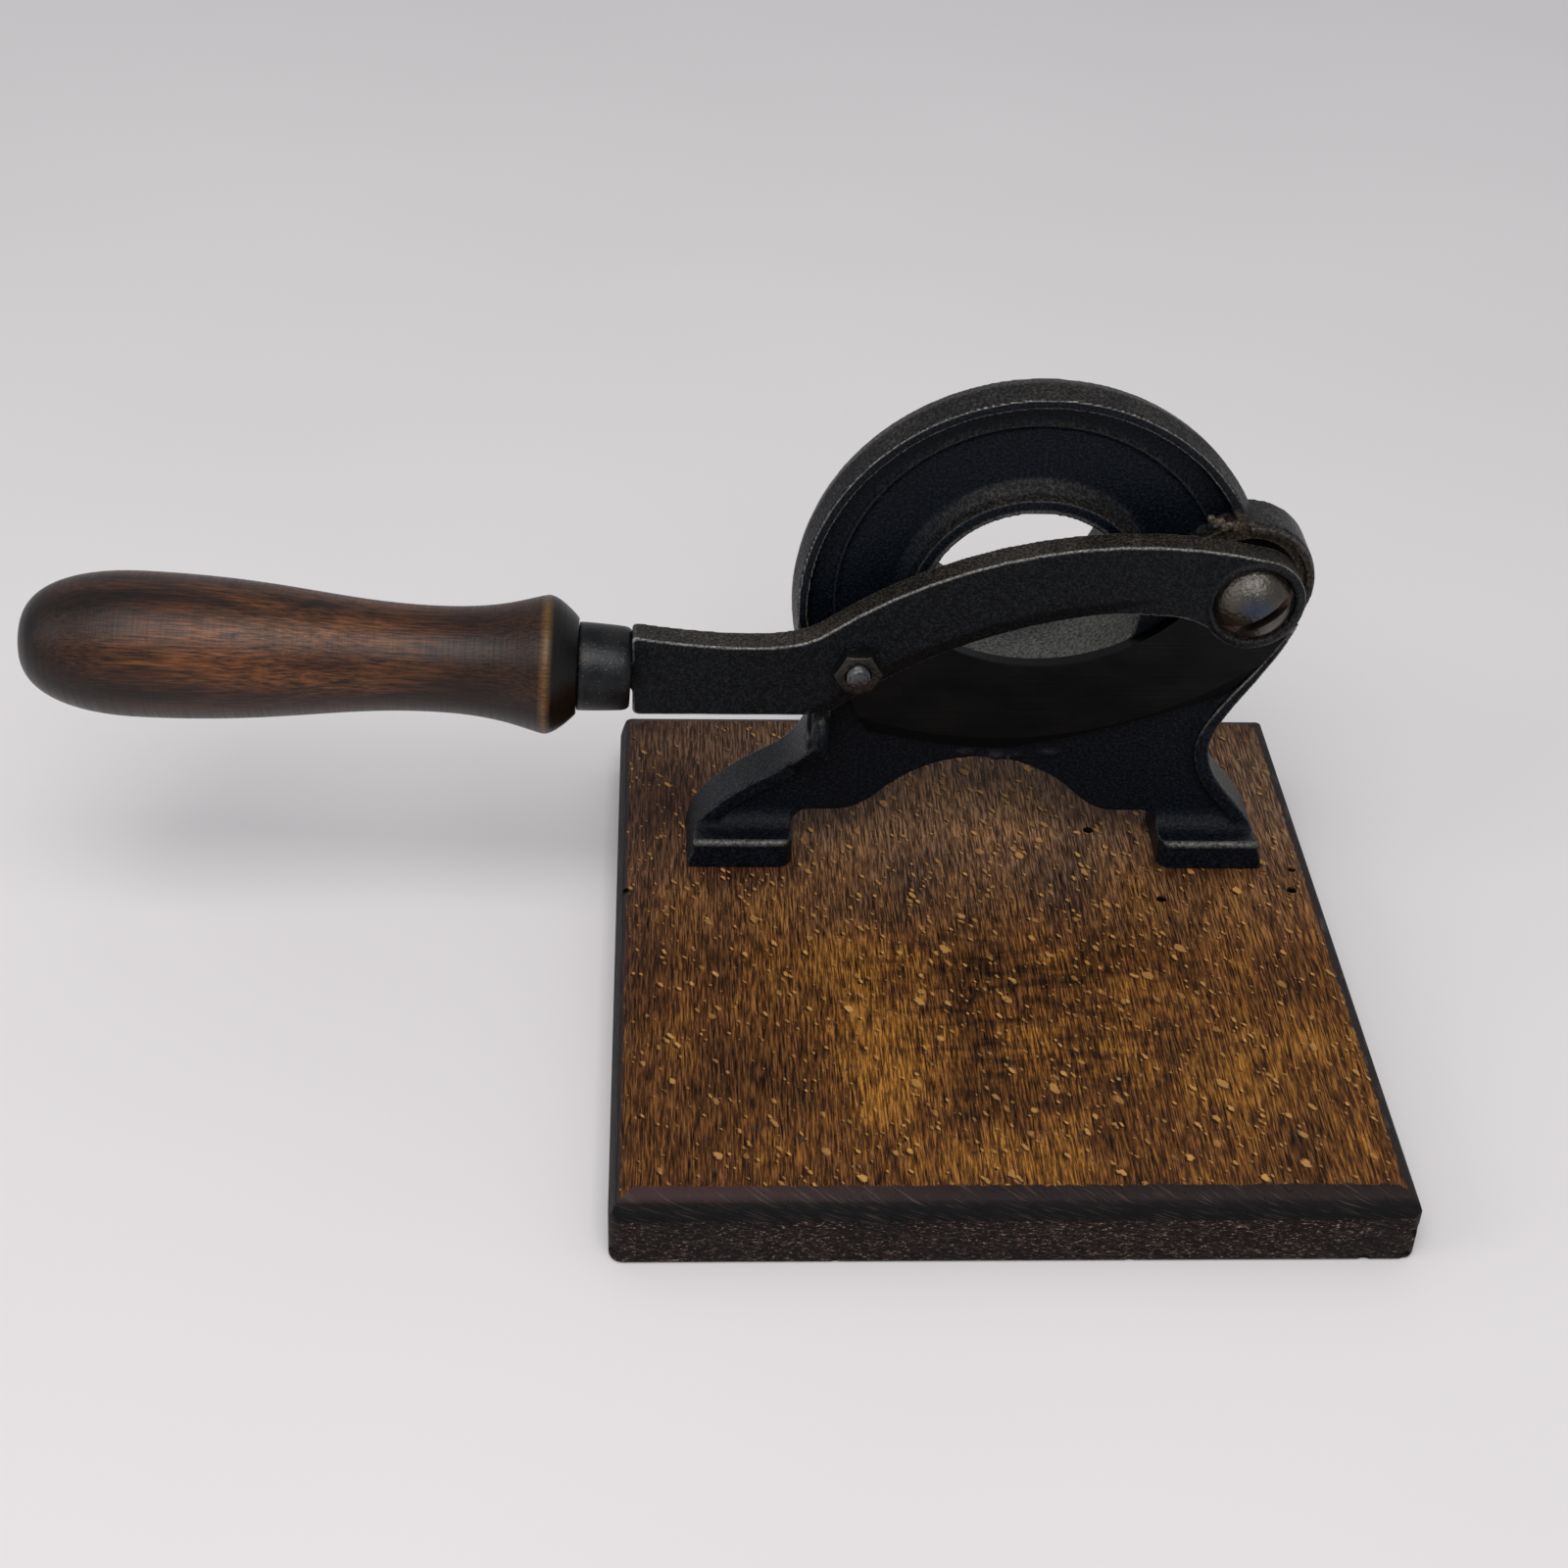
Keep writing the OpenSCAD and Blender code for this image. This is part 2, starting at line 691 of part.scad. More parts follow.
// Half section of the grip: radius against distance from its shoulder
grip_shoulder = [grip_shoulder_r, 0];
bead = [bead_r, bead_s];
neck = [neck_r, neck_s];
swell = [swell_r, swell_s];
butt = [butt_r, grip_l];
cone_pull = [1.6, 1.4];
bead_pull = [0, 2.6];
hollow_pull = [0, 6];
neck_low_pull = [0, 12];
neck_high_pull = [0, 18];
swell_pull = [0, 26];
end_pull = [0, 14];
butt_pull = [swell_r / 2, 0];
grip_curve = concat(
    cubic(grip_shoulder, grip_shoulder + cone_pull, bead - bead_pull, bead),
    rest(cubic(bead, bead + hollow_pull, neck - neck_low_pull, neck)),
    rest(cubic(neck, neck + neck_high_pull, swell - swell_pull, swell)),
    rest(cubic(swell, swell + end_pull, butt + butt_pull, butt))
);

module handle_grip() {
    tenon_l = ferrule_l - ferrule_gap;
    shoulder_s = ferrule_gap + ferrule_l;
    color(dark_wood)
    along_handle(shoulder_s)
        difference() {
            union() {
                rotate_extrude() polygon(concat([[0, 0]], grip_curve, [[0, grip_l]]));
                translate([0, 0, -tenon_l]) cylinder(r = ferrule_ir - fit, h = tenon_l + past);
            }
            translate([0, 0, -tenon_l - past])
                cylinder(r = tang_hole_r, h = tang_l - shoulder_s + tenon_l + 2 * past);
        }
}

module foot_screws() {
    color(steel)
    at_foot_screws()
        union() {
            translate([0, 0, sunk_d - foot_washer_t])
                cylinder(r = foot_screw_r, h = board_t + thread_l - sunk_d + foot_washer_t);
            translate([0, 0, sunk_d - foot_washer_t - foot_head_h])
                cylinder(r = foot_head_r, h = foot_head_h);
        }
}

module foot_washers() {
    color(steel)
    at_foot_screws()
        translate([0, 0, sunk_d - foot_washer_t])
            difference() {
                cylinder(r = foot_washer_r, h = foot_washer_t);
                translate([0, 0, -past])
                    cylinder(r = foot_screw_r + drill, h = foot_washer_t + 2 * past);
            }
}

base_board();
stand_casting();
lever_arm();
blade();
clamp_screw();
clamp_nut();
pivot_screw();
pivot_washer();
pivot_nut();
ferrule();
handle_grip();
foot_screws();
foot_washers();
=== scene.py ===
# %% [markdown]
# # A counter-top tobacco cutter
# A black iron stand on a worn wooden board carries a lever with a crescent blade. The handle lifts, a plug of
# tobacco is pushed through the ring from behind, and the blade slices it on the way down. The solid model
# arrives as a fixed frame in metres: X runs along the handle, Y to the back and Z up. This lesson remakes
# each solid as the worn thing it is, and then paints it.

# %% Load the frame
import json
import math
from functools import partial

import bmesh
import bpy
import numpy as np
from mathutils import Matrix, Vector

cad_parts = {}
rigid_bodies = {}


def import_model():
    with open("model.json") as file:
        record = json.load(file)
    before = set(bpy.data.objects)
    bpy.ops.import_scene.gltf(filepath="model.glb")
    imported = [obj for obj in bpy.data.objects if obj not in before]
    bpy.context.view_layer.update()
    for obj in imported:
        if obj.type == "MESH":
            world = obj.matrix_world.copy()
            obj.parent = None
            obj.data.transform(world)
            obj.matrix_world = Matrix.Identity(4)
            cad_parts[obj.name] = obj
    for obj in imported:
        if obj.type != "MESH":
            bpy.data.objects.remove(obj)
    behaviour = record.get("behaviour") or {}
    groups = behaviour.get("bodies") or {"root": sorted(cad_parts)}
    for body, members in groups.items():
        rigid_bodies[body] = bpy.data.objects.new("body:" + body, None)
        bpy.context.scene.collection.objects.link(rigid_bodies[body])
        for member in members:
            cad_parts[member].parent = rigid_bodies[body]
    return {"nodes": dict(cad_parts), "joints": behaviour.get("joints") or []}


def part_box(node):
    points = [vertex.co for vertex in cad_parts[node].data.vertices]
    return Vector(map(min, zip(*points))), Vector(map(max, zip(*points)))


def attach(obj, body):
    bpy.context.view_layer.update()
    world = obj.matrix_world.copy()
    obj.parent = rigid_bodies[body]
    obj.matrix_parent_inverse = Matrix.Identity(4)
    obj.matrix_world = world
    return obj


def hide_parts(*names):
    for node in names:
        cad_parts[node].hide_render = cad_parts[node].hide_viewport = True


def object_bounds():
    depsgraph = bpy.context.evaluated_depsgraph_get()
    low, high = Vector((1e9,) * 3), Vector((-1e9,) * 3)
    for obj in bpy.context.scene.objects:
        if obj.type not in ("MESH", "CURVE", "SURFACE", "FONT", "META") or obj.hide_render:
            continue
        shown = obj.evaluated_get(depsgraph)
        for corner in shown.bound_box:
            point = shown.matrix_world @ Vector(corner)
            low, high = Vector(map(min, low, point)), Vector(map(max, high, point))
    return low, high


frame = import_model()
cad_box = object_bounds()
MM = 0.001
print("solids:", sorted(frame["nodes"]))

# %% [markdown]
# ## Camera
# The picture was taken from a little above and to the left of the middle. The place, the angles and the focal
# length were solved from the board's corners and edges, so the lens needs no shift.

# %% Place the camera
FOCAL_PIXELS = 2540.0
PICTURE_PIXELS = 1600.0
CAMERA_AT = Vector((-61.35, -368.26, 318.85)) * MM
PITCH, YAW, ROLL = (math.radians(a) for a in (36.19, 3.51, -2.34))

forward = Vector((math.sin(YAW) * math.cos(PITCH), math.cos(YAW) * math.cos(PITCH), -math.sin(PITCH)))
level = Vector((math.cos(YAW), -math.sin(YAW), 0.0))
upward = level.cross(forward)
across = math.cos(ROLL) * level - math.sin(ROLL) * upward
upward = math.sin(ROLL) * level + math.cos(ROLL) * upward

lens = bpy.data.cameras.new("photo_camera")
lens.sensor_width = 36.0
lens.lens = FOCAL_PIXELS / PICTURE_PIXELS * lens.sensor_width
camera = bpy.data.objects.new("photo_camera", lens)
camera.matrix_world = Matrix((across, upward, -forward)).transposed().to_4x4()
camera.matrix_world.translation = CAMERA_AT
bpy.context.scene.collection.objects.link(camera)
bpy.context.scene.camera = camera
print("lens in mm:", round(lens.lens, 2))

# %% [markdown]
# ## Nodes and colours
# Every finish below is a small tree of nodes. One function adds a node with its settings and links, and one
# turns a colour as it is picked on a screen into the linear light that a shader works with. Values go to a
# node's live sockets in order: a Map Range takes a value, the range it comes from and the range it goes to,
# and a Mix takes a share and two colours. A texture reads a Mapping node of the Texture kind, whose scale is
# the real size of one pattern unit.

# %% Colours and nodes
def linear(colour):
    """An sRGB hex colour as linear red, green, blue and alpha."""
    parts = [int(colour[i:i + 2], 16) / 255 for i in (1, 3, 5)]
    return [p / 12.92 if p <= 0.04045 else ((p + 0.055) / 1.055) ** 2.4 for p in parts] + [1.0]


def fill(node, links):
    """Fills sockets with values, hex colours, outputs, or nodes, which stand for their first live output."""
    for key, value in links.items():
        if isinstance(value, bpy.types.Node):
            value = next(way for way in value.outputs if way.enabled)
        if isinstance(value, bpy.types.NodeSocket):
            node.id_data.links.new(value, node.inputs[key])
        else:
            node.inputs[key].default_value = linear(value) if isinstance(value, str) else value
    return node


def add(tree, kind, *values, **settings):
    """Adds a node with its settings, and its values in the order of its live sockets or in a dictionary.

    Stops fill a colour ramp, a Mix blends colours, and a Math multiplies if nothing else is set."""
    node = tree.nodes.new("ShaderNode" + kind)
    if kind == "Mix":
        node.data_type = "RGBA"
    if kind == "Math":
        node.operation = "MULTIPLY"
    if kind in ("TexNoise", "TexVoronoi"):
        node.inputs["Scale"].default_value = 1.0
    if kind == "ValToRGB":
        stops, ramp = settings.pop("stops"), node.color_ramp.elements
        for spare in stops[len(ramp):]:
            ramp.new(1.0)
        for stop, (place, colour) in zip(ramp, stops):
            stop.position, stop.color = place, linear(colour)
    for key, value in settings.items():
        setattr(node, key, value)
    if values and isinstance(values[0], dict):
        return fill(node, values[0])
    live = [i for i, way in enumerate(node.inputs) if way.enabled]
    return fill(node, dict(zip(live, values)))


# %% Start a finish and find places on it
def new_finish(name):
    """An empty material: itself, its own add function, its Texture Coordinate node and its linked shader."""
    finish = bpy.data.materials.new(name)
    finish.use_nodes = True
    tree = finish.node_tree
    tree.nodes.clear()
    spot = add(tree, "TexCoord")
    shader = add(tree, "BsdfPrincipled")
    add(tree, "OutputMaterial", {"Surface": shader})
    return finish, partial(add, tree), spot, shader


def sized(spot, x, y, z, **more):
    """Object coordinates in units of x, y and z millimetres."""
    links = {"Vector": spot.outputs["Object"], "Scale": (x * MM, y * MM, z * MM), **more}
    return add(spot.id_data, "Mapping", links, vector_type="TEXTURE")


def near(spot, place, radii, soft, turn=0.0):
    """How deep a spot lies in an ellipsoid that is turned about Y: 0 outside, 1 past its soft share."""
    inside = sized(spot, *radii, Location=Vector(place) * MM, Rotation=(0.0, turn, 0.0))
    gap = add(spot.id_data, "VectorMath", inside, operation="LENGTH")
    return add(spot.id_data, "MapRange", gap, 1.0, 1.0 - soft)


print("node functions ready")

# %% [markdown]
# ## Floor and light
# The cutter stands on a pale grey sheet. The handle's shadow falls behind it, so the main soft box hangs in
# front and high up; a weak one from the left softens the other side. The lamps stay at a plain level, and the
# pale ground is the sheet's own colour.

# %% Lay the floor and hang the light
def pale_paper():
    """Matt seamless paper: one pale grey, with the faintest mottling."""
    finish, node, spot, shader = new_finish("matt_seamless_paper")
    cloud = node("TexNoise", {"Vector": sized(spot, 160, 160, 160), "Detail": 2.0})
    tone = node("ValToRGB", cloud, stops=[(0.3, "#e4dfdf"), (0.7, "#e7e2e2")])
    fill(shader, {"Base Color": tone, "Roughness": 0.9, "Specular IOR Level": 0.2})
    return finish


bpy.ops.object.select_all(action="DESELECT")
bpy.ops.mesh.primitive_plane_add(size=6.0, location=(0, 0, cad_box[0][2] - 0.1 * MM))
floor = bpy.context.object
floor.name = "floor"
floor.data.materials.append(pale_paper())


def soft_lamp(name, place, aim, width, watts):
    """A square soft box that looks at a point."""
    lamp = bpy.data.lights.new(name, "AREA")
    lamp.shape, lamp.size, lamp.energy = "SQUARE", width, watts
    holder = bpy.data.objects.new(name, lamp)
    holder.location = place
    holder.rotation_euler = (Vector(aim) - Vector(place)).to_track_quat("-Z", "Y").to_euler()
    bpy.context.scene.collection.objects.link(holder)
    return holder


soft_lamp("main_box", (-0.1, -0.6, 1.05), (0, 0, 0.03), width=0.8, watts=8.5)
soft_lamp("left_box", (-1.0, -0.35, 0.6), (0, 0, 0.05), width=0.5, watts=1.6)
world = bpy.data.worlds.new("studio")
world.use_nodes = True
fill(world.node_tree.nodes["Background"], {"Color": "#e9ecf0", "Strength": 0.55})
bpy.context.scene.world = world
bpy.context.scene.view_settings.view_transform = "Standard"
print("stage: floor, two soft boxes and a pale studio")

# %% [markdown]
# ## Working by hand, in code
# Modelling goes on as it would with a mouse: add a primitive, select some edges or faces by where they are,
# use a tool on them, then finish with modifiers. These helpers do the selecting, the finishing and the
# cutting, and hang each finished piece on the body that it moves with.

# %% Add pieces and go into edit mode
def alone(piece):
    """Selects one piece and nothing else."""
    bpy.ops.object.select_all(action="DESELECT")
    piece.select_set(True)
    bpy.context.view_layer.objects.active = piece
    return piece


def mode(name):
    """Goes into EDIT or OBJECT mode with the active piece."""
    bpy.ops.object.mode_set(mode=name)


def edit_all(piece):
    """Goes into edit mode with one piece and selects all of it."""
    alone(piece)
    mode("EDIT")
    bpy.ops.mesh.select_all(action="SELECT")


def named(name):
    """Names the primitive that was just added, and puts its place into its mesh."""
    piece = bpy.context.object
    piece.name = piece.data.name = name
    bpy.ops.object.transform_apply()
    return piece


def added(name, primitive, place, turn=(0.0, 0.0, 0.0), **sizes):
    """Adds a primitive by its operator, with its place and its lengths in millimetres."""
    bpy.ops.object.select_all(action="DESELECT")
    for key in sizes:
        if "radius" in key or key == "depth":
            sizes[key] *= MM
    primitive(location=[c * MM for c in place], rotation=turn, **sizes)
    return named(name)


def block(name, place, size, turn=(0.0, 0.0, 0.0)):
    """A box in millimetres, to be cut with or worked on."""
    return added(name, bpy.ops.mesh.primitive_cube_add, place, turn, size=1.0, scale=[c * MM for c in size])


# %% Select, finish and cut
def pick(piece, kind, test):
    """In edit mode, selects only the edges or faces whose middle or normal passes a test."""
    bpy.ops.mesh.select_mode(type=kind)
    bpy.ops.mesh.select_all(action="DESELECT")
    shape = bmesh.from_edit_mesh(piece.data)
    for part in shape.edges if kind == "EDGE" else shape.faces:
        part.select_set(test(part))
    bmesh.update_edit_mesh(piece.data)


def finish_with(piece, kind, **settings):
    """Adds a modifier to a piece and applies it."""
    alone(piece)
    step = piece.modifiers.new(kind, kind)
    for key, value in settings.items():
        setattr(step, key, value)
    bpy.ops.object.modifier_apply(modifier=step.name)
    return piece


def cut(piece, cutter, how="DIFFERENCE"):
    """Cuts one piece with another, which is used up."""
    finish_with(piece, "BOOLEAN", object=cutter, operation=how, solver="EXACT")
    bpy.data.objects.remove(cutter)
    return piece


def joined(first, *others):
    """Makes one piece of several."""
    alone(first)
    for other in others:
        other.select_set(True)
    bpy.ops.object.join()
    return first


# %% Paint a piece and hang it on its body
def put_on(piece, body, slot, finish, *nodes, smooth=35):
    """Shades and paints a finished piece, hangs it on its body and lets it stand for its solids."""
    alone(piece)
    bpy.ops.object.shade_smooth_by_angle(angle=math.radians(smooth))
    piece.data.materials.clear()
    piece.data.materials.append(finish)
    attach(piece, body)
    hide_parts(*nodes)
    print(piece.name, "faces:", len(piece.data.polygons))


print("modelling functions ready")

# %% [markdown]
# ## The board
# A square of hardwood, planed and stained. Its upper edges were taken down with a hand plane in two facets,
# and the knee between them is rubbed soft. Bisecting works like the plane does, so it leaves a mitre where
# two edges meet, as on the real board. Then come the beetle holes, the knocked corner at the right front and
# the sunk screw holes.

# %% Round the board
board_low, board_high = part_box("base_board")
BOARD_TOP = board_high.z
BOARD_ROUND, BACK_ROUND, BOARD_CORNER, BOARD_ARRIS, KNEE_SOFT = (r * MM for r in (4.5, 3.0, 2.5, 0.7, 0.5))
FACET = math.radians(22.5)
KNEE = 1 - math.sqrt(0.5)


def bevelled(box, test, radius, segments):
    """Bevels the edges of a piece that pass a test."""
    pick(box, "EDGE", test)
    bpy.ops.mesh.bevel(offset=radius, segments=segments, affect="EDGES")


def planed(edge, out, radius):
    """Planes an upper edge down in two facets. Edge is a point on it, and out looks away from the board."""
    for place, tilt in ((edge - out * radius, math.pi / 2 - FACET), (edge - Vector((0, 0, radius)), FACET)):
        bpy.ops.mesh.select_all(action="SELECT")
        bpy.ops.mesh.bisect(plane_co=place, plane_no=out * math.cos(tilt) + Vector((0, 0, math.sin(tilt))),
                            use_fill=True, clear_outer=True)


bpy.ops.object.select_all(action="DESELECT")
bpy.ops.mesh.primitive_cube_add(size=1.0, location=(board_low + board_high) / 2, scale=board_high - board_low)
board = named("board")
mode("EDIT")
bevelled(board, lambda e: abs(e.verts[0].co.z - e.verts[1].co.z) > 5 * MM, BOARD_CORNER, 6)
for out, radius in (((0, -1, 0), BOARD_ROUND), ((0, 1, 0), BACK_ROUND), ((-1, 0, 0), BOARD_ROUND),
                    ((1, 0, 0), BOARD_ROUND)):
    reach = board_high if sum(out) > 0 else -board_low
    planed(Vector((out[0] * reach.x, out[1] * reach.y, BOARD_TOP)), Vector(out), radius)
for height, radius in ((BOARD_TOP - KNEE * BOARD_ROUND, KNEE_SOFT), (board_low.z, BOARD_ARRIS)):
    bevelled(board, lambda e: all(abs(v.co.z - height) < 0.03 * MM for v in e.verts), radius, 2)
mode("OBJECT")
print("board in mm:", [round(s / MM, 1) for s in board.dimensions])

# %% Holes and knocks in the board
WORM_HOLES = [(25.4, 31.6, 1.0), (36.9, 9.4, 1.0), (63.4, 12.3, 1.0), (64.7, 18.9, 0.85), (-68.3, 12.7, 0.65)]
WORM_LEAN, WORM_DEPTH = (0.25, -0.2, 0.0), 14.0
FOOT_SCREWS = [(-45.8, 29.5), (48.0, 29.5)]
SHANK_HOLE, HEAD_HOLE = (2.65, 40.0), (6.15, 10.0)
KNOCKS = [(69.6, -71.9, 6.2, 1.7), (70.3, -72.2, 3.4, 1.5), (69.9, -72.6, 9.4, 1.2), (68.2, -73.1, 1.0, 1.5),
          (70.4, -69.0, 4.6, 1.3), (61.0, -73.2, 0.4, 1.4), (-69.8, -72.4, 2.2, 1.6),
          (-70.6, -60.0, 0.6, 1.6), (20.0, -73.3, 0.2, 1.3), (-31.0, -73.2, 0.3, 1.2), (70.5, 30.0, 8.8, 1.2),
          (70.4, 72.2, 5.0, 1.6)]
cylinder, ball = bpy.ops.mesh.primitive_cylinder_add, bpy.ops.mesh.primitive_ico_sphere_add
cutters = [added("worm_hole", cylinder, (x, y, BOARD_TOP / MM), WORM_LEAN, vertices=20, radius=radius,
                 depth=WORM_DEPTH) for x, y, radius in WORM_HOLES]
cutters += [added("screw_hole", cylinder, (x, y, 0.0), vertices=48, radius=radius, depth=depth)
            for x, y in FOOT_SCREWS for radius, depth in (SHANK_HOLE, HEAD_HOLE)]
cutters += [added("knock", ball, (x, y, z), subdivisions=2, radius=radius) for x, y, z, radius in KNOCKS]
for cutter in cutters:
    cut(board, cutter)
print("board after its holes:", len(board.data.polygons), "faces")

# %% [markdown]
# ### Stained beech
# Beech has fine dark pores along the grain, which runs from front to back here. Decades of use have stained
# it amber where hands rub it, and left it dusty behind the stand. Soft ellipsoids hold the golden and the
# dark places; the dark ones round the toes are painted contact shadows. In the middle the grain curls, which
# shows as dark bars across it.

# %% Mix the wood's colour
GOLDEN = [(((-20.0, -28.0, 14.5), (16.0, 34.0, 30.0), 0.8), 0.2),
          (((-6.0, -62.0, 14.5), (20.0, 11.0, 30.0), 0.8), 0.14),
          (((-58.0, -20.0, 14.5), (7.0, 60.0, 30.0), 0.8), 0.1),
          (((46.0, -34.0, 14.5), (34.0, 44.0, 30.0), 0.9), 0.1)]
CURLED = ((6.0, -22.0, 14.5), (52.0, 52.0, 30.0), 0.7)
# The first two ellipsoids are painted contact shadows round the toes; the third is a dark patch at the back
# left.
TOE_SHADOWS_AND_DARK_PATCH = [((-46.0, 19.0, 14.5), (17.0, 9.0, 30.0), 1.0), ((48.0, 19.0, 14.5), (17.0, 9.0, 30.0), 1.0),
          ((-58.0, 40.0, 14.5), (30.0, 26.0, 30.0), 1.0)]


def beech_ground(node, spot, place):
    """The stained wood's colour, and its cloud and fibre textures.

    Its fibres are drawn at twice their real width, so that they show."""
    cloud = node("TexNoise", {"Vector": sized(spot, 15, 26, 15), "Detail": 4.0})
    fibre = node("TexNoise", {"Vector": sized(spot, 0.3, 4.6, 0.3), "Detail": 4.0, "Roughness": 0.65})
    tone = node("Math", fibre, 0.4, cloud, operation="MULTIPLY_ADD")
    for spot_at, amount in GOLDEN:
        tone = node("Math", near(spot, *spot_at), amount, tone, operation="MULTIPLY_ADD")
    curl = node("TexNoise", {"Vector": sized(spot, 8.0, 2.8, 8.0), "Detail": 2.5, "Distortion": 0.3})
    dark = node("MapRange", curl, 0.44, 0.7, 0.0, -0.3)
    tone = node("Math", near(spot, *CURLED), dark, tone, operation="MULTIPLY_ADD")
    body = node("ValToRGB", tone,
                stops=[(0.4, "#3f2817"), (0.58, "#6b4727"), (0.72, "#865a2f"), (0.94, "#b27d3a")])
    streak = node("ValToRGB", fibre, stops=[(0.34, "#1d1612"), (0.5, "#aa9b8c"), (0.63, "#fffaf0")])
    dusty = node("MapRange", place[1], -8 * MM, 40 * MM, 0.0, 0.5)
    body = node("Mix", dusty, body, "#a88e7c")
    left = node("MapRange", place[0], -38 * MM, -66 * MM, 0.0, 0.55)
    rear = node("MapRange", place[1], 58 * MM, 71 * MM, 0.0, 0.6)
    # Darkens the left and back edges, paints the contact shadows round the toes and darkens a patch at the
    # back left.
    for mask in [left, rear] + [near(spot, *stain) for stain in TOE_SHADOWS_AND_DARK_PATCH]:
        body = node("Mix", mask, body, "#56382a")
    body = node("Mix", 1.0, body, streak, blend_type="MULTIPLY")
    return body, cloud, fibre


print("golden places:", len(GOLDEN), "and stains:", len(TOE_SHADOWS_AND_DARK_PATCH))

# %% [markdown]
# ### Ray flecks
# Short pale flecks show where the beech's rays break the surface. They are cells of a Voronoi texture whose
# size is drawn cell by cell, and each has a dark copy shifted to one side, a painted shade of its relief.

# %% Add the flecks
FLECKS = [(0.9, 1.7, 0.7, 0.42), (1.3, 2.7, 0.7, 0.42), (2.1, 3.4, 0.8, 0.45)]
FLECK_LEAN = 0.5
FLECK_SHADE_SHIFT = Vector((-0.4, -0.35, 0.0))


def ray_flecks(node, spot, place, body):
    """Lays flecks over a colour, each with a painted shade beside it, and gives the new colour and the
    flecks' masks.

    A row of flecks is its width and length in millimetres, the least chance that shows and the most reach."""
    ragged = node("TexNoise", {"Vector": sized(spot, 1.6, 1.6, 1.6), "Detail": 3.0})
    crowd = node("MapRange", place[0], -55 * MM, -5 * MM, -0.04, 0.0)
    tears = []
    for wide, long, least, most in FLECKS:
        pair = []
        for shift in (Vector(), FLECK_SHADE_SHIFT * MM):
            cell = sized(spot, wide, long, wide, Location=shift, Rotation=(0.0, 0.0, FLECK_LEAN))
            torn = node("VectorMath", ragged.outputs["Color"], (0.7, 0.5, 0.7), cell,
                        operation="MULTIPLY_ADD")
            fleck = node("TexVoronoi", {"Vector": torn})
            size = node("SeparateColor", fleck.outputs["Color"])
            chance = node("Math", size.outputs[0], crowd, operation="ADD")
            reach = node("MapRange", chance, least, 1.0, 0.0, most)
            edge = node("Math", reach, fleck, operation="SUBTRACT")
            mask = node("MapRange", edge, -0.02, 0.1)
            level = node("MapRange", size.outputs[1], 0.0, 1.0, 0.35, 1.0)
            pair.append(node("Math", mask, level))
        # painted shade: the shifted copy darkens one side of each fleck
        body = node("Mix", pair[1], body, "#1c1008")
        body = node("Mix", pair[0], body, "#c08d4e")
        tears.append(pair[0])
    return body, tears


print("rows of flecks:", len(FLECKS))

# %% [markdown]
# ### Dark edges
# The planed edges are painted nearly black, in a ragged line where they meet the top, and the sawn flanks
# show streaky grain with pale scratches. The upper round-over is painted lighter as a sheen, with a painted
# highlight towards the left. Heights decide where each begins. The worm holes get painted shade inside.

# %% Darken the edges
RIM = (14.7, 14.6)
ROUND_OVER = (9.5, 14.5)
FLANK_TOP = (10.3, 9.8)
HOLE_DEEP, HOLE_WIDER = 12.5, 1.6


def dark_edges(node, spot, place, cloud, body):
    """Darkens the board's edges and flanks, paints a sheen and a highlight on the round-over and shade inside
    the worm holes.
    """
    gaps = []
    for axis, reach in ((0, board_high.x), (1, board_high.y)):
        out = node("Math", place[axis], operation="ABSOLUTE")
        gaps.append(node("Math", reach, out, operation="SUBTRACT"))
    flank = node("Math", gaps[0], gaps[1], operation="LESS_THAN")
    chip = node("TexNoise", {"Vector": sized(spot, 1.5, 1.5, 1.5), "Detail": 5.0})
    height = node("Math", chip, 0.5 * MM, place[2], operation="MULTIPLY_ADD")
    later = node("MapRange", place[0], -10 * MM, 10 * MM, 0.9 * MM, 0.45 * MM)
    height = node("Math", flank, later, height, operation="MULTIPLY_ADD")
    rim = node("MapRange", height, RIM[0] * MM, RIM[1] * MM)
    slope = node("MapRange", place[2], ROUND_OVER[0] * MM, ROUND_OVER[1] * MM)
    # painted sheen: the round-over is lighter towards its top
    edge_dark_and_sheen = node("ValToRGB", slope,
                stops=[(0.0, "#0c0b0c"), (0.55, "#101012"), (0.72, "#191414"), (0.8, "#28201f"),
                       (1.0, "#261e1d")])
    # painted highlight on the upper round-over, towards the left
    left_highlight = node("MapRange", place[0], -5 * MM, -55 * MM, 0.0, 0.55)
    upper = node("MapRange", slope, 0.72, 0.85)
    left_highlight = node("Math", left_highlight, upper)
    edge_dark_and_sheen = node("Mix", left_highlight, edge_dark_and_sheen, "#4d3836")
    body = node("Mix", rim, body, edge_dark_and_sheen)
    grain = node("TexNoise", {"Vector": sized(spot, 0.9, 7.0, 0.32), "Detail": 5.0, "Roughness": 0.75})
    speck = node("ValToRGB", grain,
                 stops=[(0.37, "#030202"), (0.49, "#120909"), (0.58, "#2a1815"), (0.68, "#a39284")])
    end = node("MapRange", place[2], FLANK_TOP[0] * MM, FLANK_TOP[1] * MM)
    stain = node("MapRange", cloud, 0.35, 0.5, 0.35)
    end = node("Math", end, stain)
    body = node("Mix", end, body, speck)
    saw = node("TexNoise", {"Vector": sized(spot, 6, 6, 0.16, Rotation=(0.0, 0.3, 0.0)), "Detail": 4.0})
    scratch = node("MapRange", saw, 0.56, 0.74, 0.0, 0.6)
    scratch = node("Math", scratch, rim)
    body = node("Mix", scratch, body, "#5d5049")
    # painted shade inside the worm holes
    for x, y, radius in WORM_HOLES:
        hole_shade = near(spot, (x, y, HOLE_DEEP), (HOLE_WIDER * radius, HOLE_WIDER * radius, 2.2), 0.2)
        body = node("Mix", hole_shade, body, "#060403")
    return body


print("edges darken below", RIM[0], "mm")


